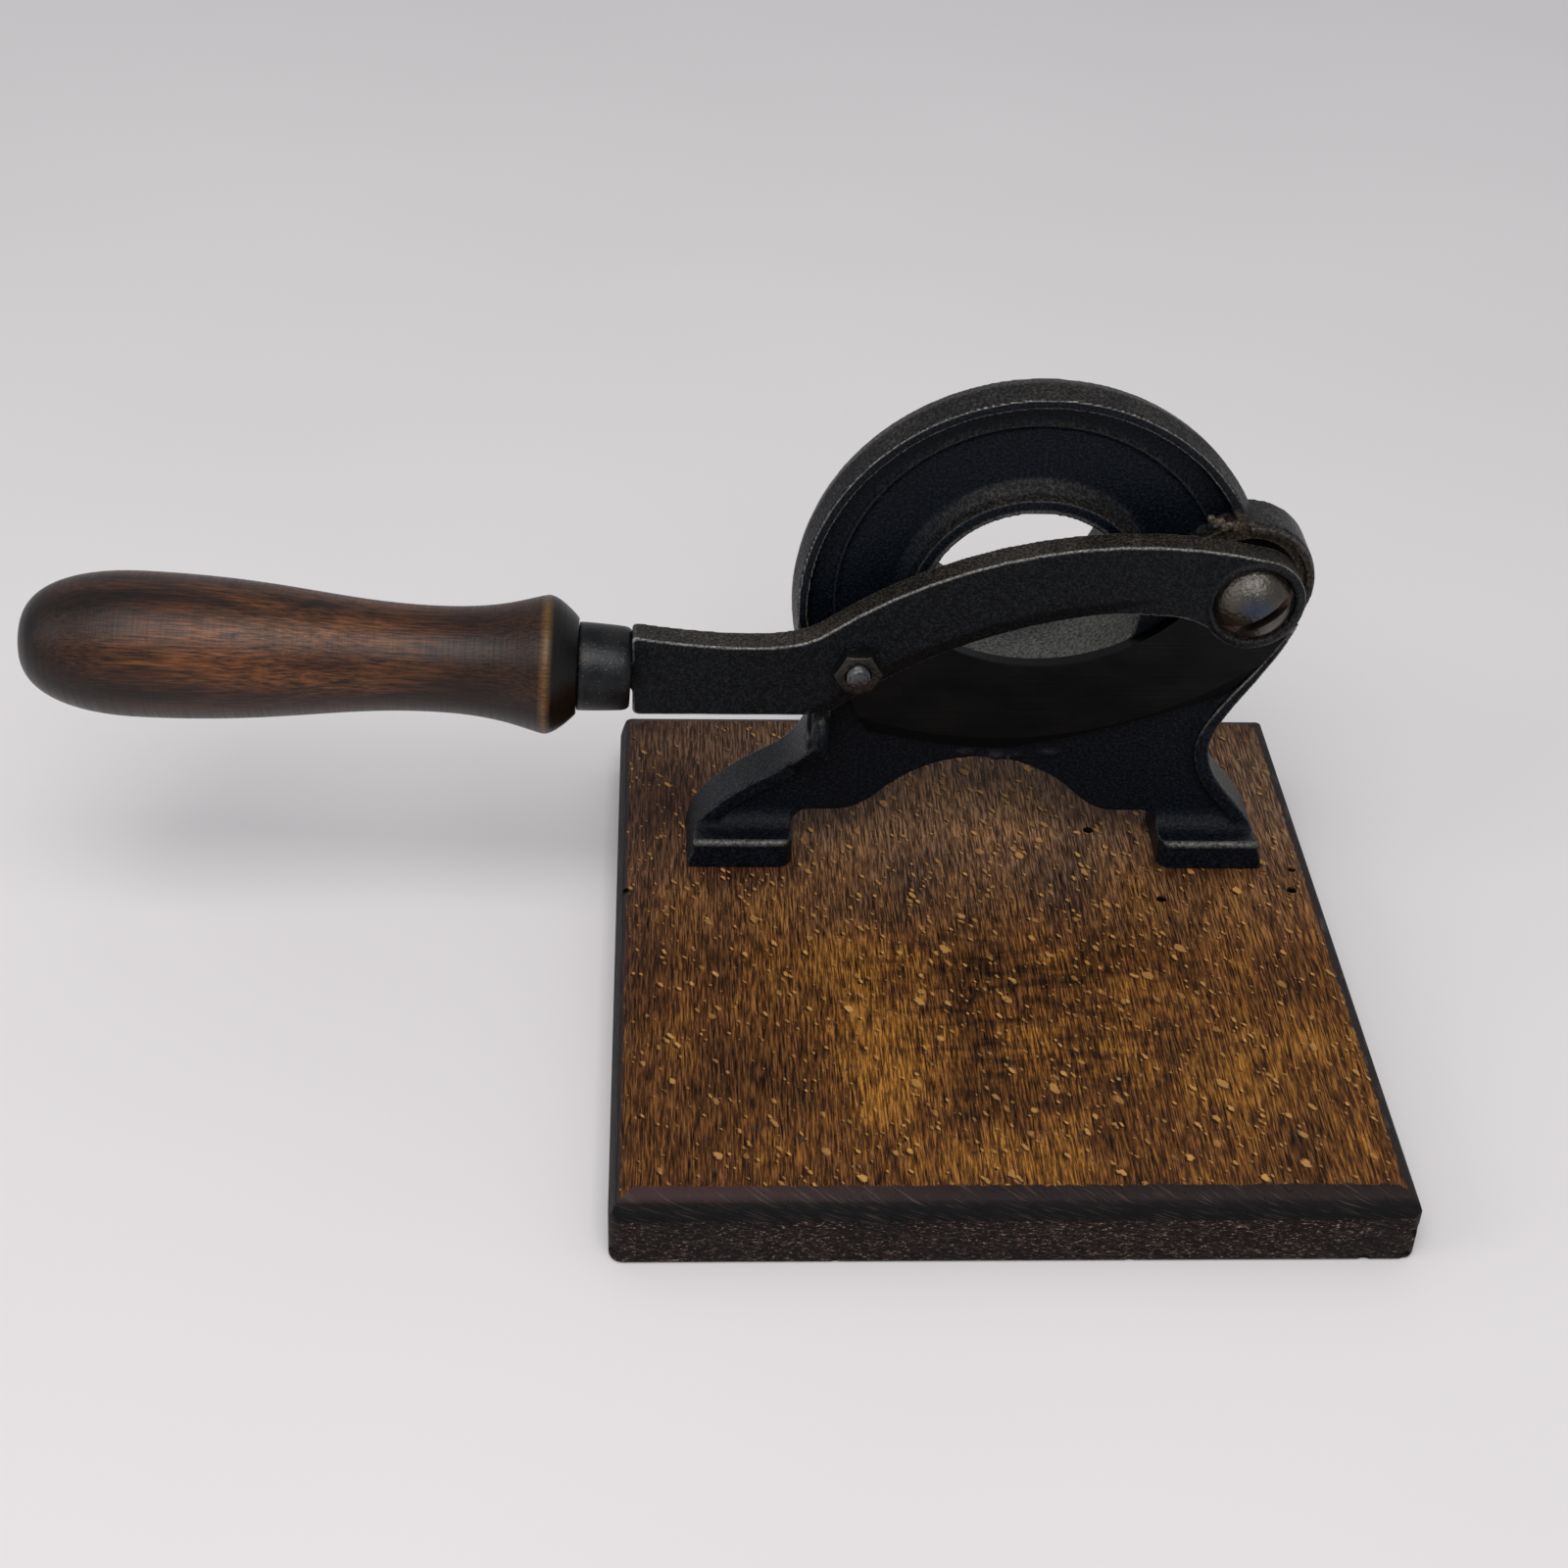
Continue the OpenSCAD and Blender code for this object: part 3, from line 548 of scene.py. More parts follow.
# %% Paint the board
def stained_beech():
    """Planed beech, stained and oiled: satin, golden to dark brown, with ray flecks and blackened edges."""
    finish, node, spot, shader = new_finish("stained_planed_beech")
    place = node("SeparateXYZ", spot.outputs["Object"]).outputs
    body, cloud, fibre = beech_ground(node, spot, place)
    body, tears = ray_flecks(node, spot, place, body)
    body = dark_edges(node, spot, place, cloud, body)
    gloss = node("MapRange", fibre, 0.0, 1.0, 0.62, 0.45)
    relief = fibre
    for tear in tears:
        relief = node("Math", relief, tear, operation="SUBTRACT")
    bump = node("Bump", {"Strength": 0.8, "Distance": 0.3 * MM, "Height": relief})
    fill(shader, {"Base Color": body, "Roughness": gloss, "Specular IOR Level": 0.1, "Normal": bump})
    return finish


put_on(board, "stand", "board_wood", stained_beech(), "base_board", smooth=30)

# %% [markdown]
# ## The casting
# The stand is one sand casting: ring, web, legs and trough in a single pour. A casting has no sharp edges, so
# a copy of the solid is merged, filled with a fine voxel grid and smoothed a little, which rounds every edge
# and every inner corner at once. A thin raised line runs round the recess, and bits of flash are left at the
# arch and where the boss meets the rim.

# %% Copy a solid as a blank
def blank_of(node, name):
    """A merged copy of a solid's mesh, to be worked on."""
    blank = bpy.data.objects.new(name, frame["nodes"][node].data.copy())
    bpy.context.scene.collection.objects.link(blank)
    edit_all(blank)
    bpy.ops.mesh.remove_doubles(threshold=0.002 * MM)
    bpy.ops.mesh.customdata_custom_splitnormals_clear()
    mode("OBJECT")
    return blank


# %% Thin out flat ground
def thinned(piece, keep):
    """Thins out the mesh of flat ground to a share of its faces, and leaves the edges as fine as they are."""
    alone(piece)
    mode("EDIT")
    bpy.ops.mesh.select_mode(type="EDGE")
    bpy.ops.mesh.select_all(action="DESELECT")
    bpy.ops.mesh.edges_select_sharp(sharpness=math.radians(8))
    for ring in range(2):
        bpy.ops.mesh.select_more()
    bpy.ops.mesh.select_all(action="INVERT")
    ground = piece.vertex_groups.new(name="flat_ground")
    bpy.ops.object.vertex_group_assign()
    mode("OBJECT")
    finish_with(piece, "DECIMATE", ratio=keep, vertex_group=ground.name)
    piece.vertex_groups.clear()


# %% Find the edges
def mark_edges(piece):
    """Notes how far each point stands out from its neighbours: over 0 on edges, under 0 in corners."""
    mesh = piece.data
    points, normals = (np.empty(3 * len(mesh.vertices), np.float32) for i in range(2))
    ends = np.empty(2 * len(mesh.edges), np.int32)
    mesh.vertices.foreach_get("co", points)
    mesh.vertex_normals.foreach_get("vector", normals)
    mesh.edges.foreach_get("vertices", ends)
    points, normals, (first, last) = points.reshape(-1, 3), normals.reshape(-1, 3), ends.reshape(-1, 2).T
    step = points[last] - points[first]
    step /= np.linalg.norm(step, axis=1)[:, None]
    count = np.bincount(ends, minlength=len(points))
    rise = np.bincount(last, (step * normals[last]).sum(1), len(points))
    rise = (rise - np.bincount(first, (step * normals[first]).sum(1), len(points))) / count
    around = np.bincount(first, rise[last], len(points)) + np.bincount(last, rise[first], len(points))
    mesh.attributes.new("edge", "FLOAT", "POINT").data.foreach_set("value", (rise + around / count) / 2)
    print(piece.name, "edges stand out up to", np.round(np.percentile(rise, (1, 5, 50, 90, 95, 99)), 3))


# %% Give a piece a cast skin
def cast_skin(piece, voxel, rounds, unevenness, keep=1.0):
    """Rounds all edges by way of a voxel grid, and makes the faces slightly uneven. Sizes in millimetres.

    Keep is the share of faces that stays when the flat ground is thinned out."""
    finish_with(piece, "REMESH", mode="VOXEL", voxel_size=voxel * MM)
    finish_with(piece, "SMOOTH", factor=0.5, iterations=rounds)
    mark_edges(piece)
    if keep < 1.0:
        thinned(piece, keep)
    sand = bpy.data.textures.new(piece.name + "_sand", "CLOUDS")
    sand.noise_scale, sand.noise_depth = 5 * MM, 2
    finish_with(piece, "DISPLACE", texture=sand, strength=unevenness * MM, mid_level=0.5)
    return piece


print("functions for cast and forged pieces ready")

# %% Shape the casting
STAND_FACE, RECESS_D = 27.0, 4.2
RECESS_FLOOR = STAND_FACE + RECESS_D
RING_X, RING_Z = 7.8, 70.4
LINE_R, LINE_ROUND = 36.6, 0.55
COLLAR_ROOT, COLLAR_FILLET, COLLAR_BORE = 25.6, 1.7, 22.0
FLASH = [(-1.6, 27.3, 37.2, 0.9, 2.2), (1.2, 27.6, 36.6, 0.8, 1.6), (4.4, 27.2, 36.3, 1.0, 2.0),
         (6.6, 27.0, 35.9, 0.7, 1.0), (8.6, 27.4, 36.4, 0.8, 1.8), (14.6, 27.3, 37.0, 0.9, 2.6),
         (39.6, 27.0, 90.2, 0.8, 1.0), (40.6, 26.7, 89.3, 0.9, 1.0), (41.5, 26.9, 89.8, 0.7, 1.0),
         (42.3, 26.9, 88.5, 1.1, 1.0), (43.4, 26.6, 89.2, 0.7, 1.0), (44.4, 27.0, 88.3, 0.9, 1.0)]
OVERLAP = 0.1
LYING = (math.pi / 2, 0.0, 0.0)
torus, cone = bpy.ops.mesh.primitive_torus_add, bpy.ops.mesh.primitive_cone_add

casting = blank_of("stand_casting", "casting")
extras = [added("raised_line", torus, (RING_X, RECESS_FLOOR - OVERLAP, RING_Z), LYING, major_radius=LINE_R,
                minor_radius=LINE_ROUND, major_segments=160, minor_segments=12)]
extras += [added("flash", ball, (x, y, z), subdivisions=3, radius=radius, scale=(stretch, 1.0, 1.0))
           for x, y, z, radius, stretch in FLASH]
fillet = added("collar_fillet", cone, (RING_X, RECESS_FLOOR + OVERLAP - COLLAR_FILLET / 2, RING_Z), LYING,
               vertices=128, radius1=COLLAR_ROOT, radius2=COLLAR_ROOT - COLLAR_FILLET, depth=COLLAR_FILLET)
bore = added("collar_bore", cylinder, (RING_X, RECESS_FLOOR, RING_Z), LYING, vertices=128, radius=COLLAR_BORE,
             depth=20.0)
extras.append(cut(fillet, bore))
print("casting's ring has", len(extras), "extras")

# %% Shape the toes and the lug
TOES, TOE_FRONT, TOE_BACK, TOE_TOP, TOE_H = [(37.6, 57.2), (-35.4, -55.0)], 18.8, 23.4, 21.0, 3.5
TOE_CORNER, TOE_SINK = 3.0, 1.0
EDGE_PLANE = ((0.0, 17.72, TOE_TOP + 0.38), (130.0, 3.4, 3.0), (math.radians(42.0), 0.0, 0.0))
LUG_FRONT = ((-32.2, 18.5, 45.0), (7.6, 7.0, 16.0))
LUG_SIDE = ((-34.4, 20.2, 48.5), (4.0, 10.2, 10.0))
LUG_NOSE, NOSE_RADII = (-30.7, 21.9, 44.3), (1.9, 2.8, 4.9)
EAR = ((-33.0, 23.15, 38.4), (2.4, 7.7, 9.6), (0.0, math.radians(27.9), 0.0))
EAR_TAPER = 6.0

cut(casting, block("lug_front", *LUG_FRONT))
cut(casting, block("lug_side", *LUG_SIDE))
for inner, outer in TOES:
    middle = ((inner + outer) / 2, (TOE_FRONT + TOE_BACK) / 2, TOE_TOP - TOE_H / 2)
    top = block("toe_top", middle, (abs(outer - inner), TOE_BACK - TOE_FRONT, TOE_H))
    mode("EDIT")
    pick(top, "EDGE", lambda e: all(v.co.y > middle[1] * MM and v.co.z > middle[2] * MM for v in e.verts))
    bpy.ops.transform.translate(value=(0, 0, -TOE_SINK * MM))
    bevelled(top, lambda e: all(abs(v.co.x / MM - inner) < 0.01 and v.co.y < middle[1] * MM
                               for v in e.verts), TOE_CORNER * MM, 6)
    mode("OBJECT")
    extras.append(cut(top, block("toe_edge", *EDGE_PLANE)))
extras.append(added("lug_nose", bpy.ops.mesh.primitive_uv_sphere_add, LUG_NOSE, segments=24, ring_count=16,
                    radius=1.0, scale=NOSE_RADII))
ear = block("ear", *EAR)
mode("EDIT")
pick(ear, "EDGE", lambda e: all(v.co.y < EAR[0][1] * MM and v.co.z < EAR[0][2] * MM for v in e.verts))
bpy.ops.transform.translate(value=(0, EAR_TAPER * MM, 0))
mode("OBJECT")
joined(casting, *extras, ear)
cast_skin(casting, voxel=0.36, rounds=2, unevenness=0.16, keep=0.42)
print("casting:", len(casting.data.polygons), "faces")

# %% [markdown]
# ### Japanned iron
# Such stands were dipped in black japan, a baked asphalt varnish: bluish black and satin. It wears off along
# the edges, where grey iron shows, and dust browns the faces that look up; the same mix paints them paler as
# a sheen, more so high up. Low concave corners get grime and painted shade. The attribute from above finds
# the edges, and the object's own normal finds the upward faces, so both stay put when the lever moves.

# %% Mix the japan's colour
DUST_SHEEN_FROM, DUST_SHEEN_FULL = 35.0, 60.0


def japan_skin(node, spot, facing, cloud, sand, skin, dust_and_sheen, soiled):
    """The varnish's colour, dusty and painted paler as a sheen where it looks up, dirty in soiled ellipsoids,
    and X, Y and Z.
    """
    # dust and painted sheen: upward faces, high on the piece, are mixed towards the paler colour
    above = node("MapRange", facing[2], 0.2, 0.9)
    place = node("SeparateXYZ", spot.outputs["Object"]).outputs
    high = node("MapRange", place[2], DUST_SHEEN_FROM * MM, DUST_SHEEN_FULL * MM, 0.1)
    above = node("Math", above, high)
    patch = node("MapRange", cloud, 0.3, 0.7, 0.35)
    dusty = node("Math", above, patch)
    body = node("Mix", dusty, skin, dust_and_sheen)
    mottle = node("ValToRGB", sand, stops=[(0.36, "#4c4c4e"), (0.5, "#969696"), (0.64, "#ffffff")])
    body = node("Mix", 1.0, body, mottle, blend_type="MULTIPLY")
    for ellipsoid in soiled:
        crumbs = node("MapRange", sand, 0.4, 0.62, 0.1, 0.8)
        dirt = node("Math", near(spot, *ellipsoid), crumbs)
        body = node("Mix", dirt, body, "#6b5c4a")
    return body, place


print("dust lies above", DUST_SHEEN_FROM, "mm")

# %% [markdown]
# ### Wear on the iron
# Edges and corners are rubbed bare where hands and tobacco pass, and only high up, because the legs are out
# of the way. What is pushed through the hole rubs its floor and not its roof. Sheltered places keep their
# varnish. Low down, a bright line along the toes' top front edge is a painted highlight.

# %% Wear the edges
HANDLED_FROM, HANDLED_FULL = 42.0, 56.0


def bare_iron(node, spot, facing, place, sand, form, wear, rubbed_and_highlit, sheltered):
    """Masks of bare iron, with painted highlights, and of where hands reach. Rubbed, highlit and sheltered
    places are ellipsoids.
    """
    ridge = node("MapRange", form.outputs["Fac"], wear[0], wear[1])
    rub = node("MapRange", sand, 0.36, 0.62, 0.15)
    bare = node("Math", ridge, rub)
    handled = node("MapRange", place[2], HANDLED_FROM * MM, HANDLED_FULL * MM, 0.1)
    bare = node("Math", bare, handled)
    for ellipsoid in sheltered:
        open_to = node("MapRange", near(spot, *ellipsoid), 0.0, 1.0, 1.0, 0.15)
        bare = node("Math", bare, open_to)
    trodden = node("MapRange", facing[2], -0.35, 0.1)
    # rubbed places, and the painted highlight along the toes, are mixed into the bare iron
    for ellipsoid in rubbed_and_highlit:
        thin = near(spot, *ellipsoid)
        for share in (rub, trodden, 0.5):
            thin = node("Math", thin, share)
        bare = node("Math", bare, thin, operation="MAXIMUM")
    return bare, handled


print("hands reach down to", HANDLED_FROM, "mm")

# %% Paint the casting
def japanned_iron(name, skin, dust_and_sheen, worn, grit, gloss, wear, rubbed_and_highlit=(), soiled=(), sheltered=()):
    """Black japan on iron: satin, sandy, dusty and painted paler from above, with grime and painted shade in
    low corners and bare grey edges. Grit is in millimetres.
    """
    finish, node, spot, shader = new_finish(name)
    cloud = node("TexNoise", {"Vector": sized(spot, 9, 9, 9), "Detail": 6.0, "Roughness": 0.6})
    sand = node("TexNoise", {"Vector": sized(spot, grit, grit, grit), "Detail": 4.0, "Roughness": 0.65})
    form = node("Attribute", attribute_name="edge")
    facing = node("SeparateXYZ", spot.outputs["Normal"]).outputs
    body, place = japan_skin(node, spot, facing, cloud, sand, skin, dust_and_sheen, soiled)
    bare, handled = bare_iron(node, spot, facing, place, sand, form, wear, rubbed_and_highlit, sheltered)
    # grime and painted shade: concave corners low on the piece are darkened towards near black
    hollow = node("MapRange", form.outputs["Fac"], -0.01, -0.06)
    low = node("Math", 1.0, handled, operation="SUBTRACT")
    hollow = node("Math", hollow, low)
    grime_and_shade = node("Math", hollow, 0.6)
    body = node("Mix", grime_and_shade, body, "#07080b")
    body = node("Mix", bare, body, worn)
    shine = node("Math", bare, 0.8)
    satin = node("MapRange", sand, 0.35, 0.65, gloss[0], gloss[1])
    matt = node("Math", hollow, 0.45, satin, operation="MULTIPLY_ADD")
    bump = node("Bump", {"Strength": 0.9, "Distance": 0.3 * MM, "Height": sand})
    fill(shader, {"Base Color": body, "Metallic": shine, "Roughness": matt, "Specular IOR Level": 0.13,
                  "Normal": bump})
    return finish


FEED_HOLE = ((RING_X, STAND_FACE, RING_Z), (21.4, 90.0, 21.4), 0.03)
# painted highlight: a bright line along the toes' top front edge
TOE_EDGE_HIGHLIGHT = ((0.0, 19.2, TOE_TOP - 0.4), (300.0, 1.0, 1.0), 1.0)
BOSS_ROOT = ((42.5, 26.5, 89.4), (5.5, 3.5, 3.2), 0.5)
BOSS_FACE = ((48.2, 26.0, 76.6), (13.4, 4.0, 13.4), 0.3)
RECESS = ((RING_X, RECESS_FLOOR, RING_Z), (43.0, 6.0, 43.0), 0.1)
BOSS_EDGE = ((46.0, 26.5, 79.0), (18.0, 6.0, 18.0), 0.2)
cast_iron = japanned_iron("japanned_cast_iron", skin="#171e28", dust_and_sheen="#453f39", worn="#aaa79f", grit=0.6,
                          gloss=(0.42, 0.22), wear=(0.07, 0.19), rubbed_and_highlit=[FEED_HOLE, TOE_EDGE_HIGHLIGHT],
                          soiled=[BOSS_ROOT, BOSS_FACE], sheltered=[RECESS, BOSS_EDGE])
put_on(casting, "stand", "casting_iron", cast_iron, "stand_casting", smooth=60)

# %% [markdown]
# ## The lever
# The lever is a forged bar. Its lower front edge is filed to a wide slope along the arch. A cone round the
# arch's own axis takes that off, and a second cone at the pivot keeps the round head whole, so the slope
# fades out there. A burr of metal stands up round the dish for the screw's head. Then the copy goes through a
# finer voxel grid than the casting, because a forging is crisper.

# %% Shape the lever
LEVER_FRONT, LEVER_BACK = 18.68, 24.08
PIVOT = Vector(frame["joints"][0]["pos_m"]) / MM
LEVER_LOW = PIVOT.z - 25.3
SHOULDER_X, SHOULDER_ROUND = PIVOT.x - 115.0, 1.0
UNDER_X, UNDER_Z, UNDER_R = PIVOT.x - 15.0, PIVOT.z - 98.5, 96.0
SLOPE_H, SLOPE_D, SLOPE_LEAD = 3.5, 1.7, 1.0
SLOPE_Y = LEVER_FRONT + (SLOPE_D - SLOPE_LEAD) / 2
HEAD_BACK_R, HEAD_FRONT_R = 30.0, 9.0
LIP_R, LIP_ROUND = 8.3, 0.7


def faceted(piece):
    """Goes into edit mode and melts the triangles of flat faces together."""
    edit_all(piece)
    bpy.ops.mesh.dissolve_limited(angle_limit=math.radians(0.5))


lever = blank_of("lever_arm", "lever")
faceted(lever)
bevelled(lever, lambda e: all(abs(v.co.x / MM - SHOULDER_X) < 0.6 for v in e.verts)
         and abs(e.verts[0].co.y - e.verts[1].co.y) > 4 * MM, SHOULDER_ROUND * MM, 3)
mode("OBJECT")
slope = added("under_slope", cone, (UNDER_X, SLOPE_Y, UNDER_Z), LYING, vertices=360, radius1=UNDER_R - 0.03,
              radius2=UNDER_R + SLOPE_H * (1 + SLOPE_LEAD / SLOPE_D), depth=SLOPE_D + SLOPE_LEAD)
head_keeps = added("head_keeps", cone, (PIVOT.x, SLOPE_Y, PIVOT.z), LYING, vertices=96, radius1=HEAD_BACK_R,
                   radius2=HEAD_FRONT_R, depth=SLOPE_D + SLOPE_LEAD + 0.2)
cut(lever, cut(slope, head_keeps))
joined(lever, added("dish_lip", torus, (PIVOT.x, LEVER_FRONT + 0.3, PIVOT.z), LYING, major_radius=LIP_R,
                    minor_radius=LIP_ROUND, major_segments=96, minor_segments=12))
cast_skin(lever, voxel=0.3, rounds=2, unevenness=0.1)
SCREW_DISH = ((PIVOT.x, LEVER_FRONT, PIVOT.z), (9.6, 2.5, 9.6), 0.1)
wrought_iron = japanned_iron("japanned_forged_iron", skin="#1d2126", dust_and_sheen="#554c43", worn="#a3a19b", grit=0.5,
                             gloss=(0.44, 0.24), wear=(0.06, 0.17), sheltered=[SCREW_DISH])
put_on(lever, "lever", "lever_iron", wrought_iron, "lever_arm", smooth=60)

# %% [markdown]
# ## The blade
# A crescent of carbon steel, ground on its front side along the cutting edge. The solid already has the
# bevel, so a merged copy only gets a fine break on its edges. Grinding leaves hairlines along the blade, and
# the steel has gone dark. The bevel, which faces down, and the upward faces are painted in shade.

# %% Shape and paint the blade
def ground_steel():
    """Oxidised carbon steel, ground and whetted: dark, satin, with hairlines along the blade and painted
    shade on its downward bevel and upward faces.
    """
    finish, node, spot, shader = new_finish("oxidised_ground_steel")
    hair = node("TexNoise", {"Vector": sized(spot, 22, 22, 0.3), "Detail": 4.0})
    cloud = node("TexNoise", {"Vector": sized(spot, 11, 11, 7), "Detail": 5.0})
    tone = node("ValToRGB", cloud, stops=[(0.3, "#1a1b1d"), (0.55, "#212224"), (0.8, "#292826")])
    lined = node("MapRange", hair, 0.3, 0.7, 0.75, 1.15)
    body = node("VectorMath", tone, lined, operation="MULTIPLY")
    facing = node("SeparateXYZ", spot.outputs["Normal"]).outputs
    # painted shade: the ground bevel, which faces down, is darkened to near black
    edge = node("MapRange", facing[2], -0.1, -0.2)
    body = node("Mix", edge, body, "#08090a")
    # painted shade: the faces that look up are darkened
    top_shade = node("MapRange", facing[2], 0.6, 0.8, 0.0, 0.8)
    body = node("Mix", top_shade, body, "#0b0b0c")
    metal = node("MapRange", edge, 0.0, 1.0, 0.85, 0.1)
    satin = node("MapRange", hair, 0.0, 1.0, 0.5, 0.34)
    satin = node("Math", edge, 0.5, satin, operation="MULTIPLY_ADD")
    bump = node("Bump", {"Strength": 0.15, "Distance": 0.05 * MM, "Height": hair})
    fill(shader, {"Base Color": body, "Metallic": metal, "Specular IOR Level": 0.1, "Roughness": satin,
                  "Normal": bump})
    return finish


def edges_broken(piece, width, angle):
    """Breaks the edges that are sharper than an angle in degrees, by a width in millimetres."""
    return finish_with(piece, "BEVEL", width=width * MM, segments=2, limit_method="ANGLE",
                       angle_limit=math.radians(angle))


blade = blank_of("blade", "blade_crescent")
faceted(blade)
mode("OBJECT")
edges_broken(blade, width=0.14, angle=50)
put_on(blade, "lever", "blade_steel", ground_steel(), "blade", smooth=12)

# %% [markdown]
# ## Turned pieces
# The grip, the ferrule, the screws and the washers all come off a lathe. A disc is pushed out along Z and
# resized at each station of a profile, which keeps the mesh closed, and then the piece is laid along its
# axis.

# %% A lathe
def turned(name, stations, sides=96):
    """A disc pushed out along Z through stations of height and radius, in millimetres."""
    (height, radius), *later = stations
    piece = added(name, bpy.ops.mesh.primitive_circle_add, (0, 0, height), vertices=sides, radius=radius,
                  fill_type="NGON")
    edit_all(piece)
    for next_height, next_radius in later:
        step = (0, 0, (next_height - height) * MM)
        bpy.ops.mesh.extrude_region_move(TRANSFORM_OT_translate={"value": step})
        grow = next_radius / radius
        bpy.ops.transform.resize(value=(grow, grow, 1.0), center_override=(0, 0, next_height * MM))
        height, radius = next_height, next_radius
    bpy.ops.mesh.select_all(action="SELECT")
    bpy.ops.mesh.normals_make_consistent(inside=False)
    mode("OBJECT")
    return piece


def laid(piece, place):
    """Puts a piece that was made along Z in its place."""
    alone(piece)
    piece.matrix_world = place
    bpy.ops.object.transform_apply()
    return piece


def along_y(x, y, z):
    """Z becomes +Y, from a point in millimetres."""
    return Matrix.Translation(Vector((x, y, z)) * MM) @ Matrix.Rotation(math.radians(-90), 4, "X")


def threaded(start, end, radius, pitch=0.8, depth=0.35):
    """Stations of a screw's shank with its thread as rings, one a pitch apart."""
    turns = max(1, round((end - start) / pitch))
    step = (end - start) / turns
    return [(start + step * (i + part), radius - drop) for i in range(turns)
            for part, drop in ((0.05, depth), (0.4, 0.0), (0.6, 0.0), (0.95, depth))]


HANDLE_TILT = math.radians(3.0 - 90.0)
SHANK_H = 17.2
HANDLE_AT = Vector((SHOULDER_X, (LEVER_FRONT + LEVER_BACK) / 2, LEVER_LOW + SHANK_H / 2)) * MM
along_handle = Matrix.Translation(HANDLE_AT) @ Matrix.Rotation(HANDLE_TILT, 4, "Y")
print("handle starts at", [round(v / MM, 1) for v in HANDLE_AT])

# %% [markdown]
# ## The grip and its ferrule
# The grip is turned from one piece of hardwood: a cone against the ferrule, a crisp bead, a hollow neck and a
# long swell. Its profile is four cubic curves, the same as in the solid, drawn finer. The ferrule is a short
# steel tube with a slight belly and rounded ends.

# %% Turn the grip
FERRULE_GAP, FERRULE_L, FERRULE_R, FERRULE_WALL = 0.6, 9.6, 8.3, 1.3
GRIP_START, GRIP_L, GRIP_CREST = FERRULE_GAP + FERRULE_L, 102.0, 5.9
TANG_END, TANG_HOLE = 63.0, 3.83


def cubic(a, b, c, d, steps):
    """Points along a cubic curve, without its first."""
    points = []
    for i in range(1, steps + 1):
        t = i / steps
        u = 1 - t
        points.append(tuple(u ** 3 * p + 3 * t * u * u * q + 3 * t * t * u * r + t ** 3 * s
                            for p, q, r, s in zip(a, b, c, d)))
    return points


profile = [(0.05, 9.0), (0.3, 9.3)]
profile += cubic((0.3, 9.3), (1.6, 10.7), (3.7, 12.6), (5.3, 12.95), 14)
profile += [(5.7, 13.0), (6.1, 12.97), (6.5, 12.88)]
profile += cubic((6.5, 12.88), (10.6, 11.9), (15.0, 9.9), (27.0, 9.9), 22)
profile += cubic((27.0, 9.9), (45.0, 9.9), (54.0, 13.5), (80.0, 13.5), 30)
profile += cubic((80.0, 13.5), (94.0, 13.5), (101.98, 9.25), (101.98, 2.5), 24)
tenon_r = FERRULE_R - FERRULE_WALL - 0.05
tenon = [(0.6 - FERRULE_L, tenon_r), (0.0, tenon_r)]
grip = turned("grip", [(GRIP_START + s, r) for s, r in tenon + profile])
cut(grip, turned("tang_hole", [(0.0, TANG_HOLE), (TANG_END, TANG_HOLE)], 32))
laid(grip, along_handle)
print("grip length in mm:", round(grip.dimensions.x / MM, 1))

# %% [markdown]
# ### Stained, turned hardwood
# The grain runs along the handle, so the pattern's coordinates are turned with it. Hands have rubbed the
# middle paler, the hollow neck is dark with dirt, the far end is darker, and the bead's crest is worn to bare
# tan wood. The cone against the ferrule and the underside are painted in shade.

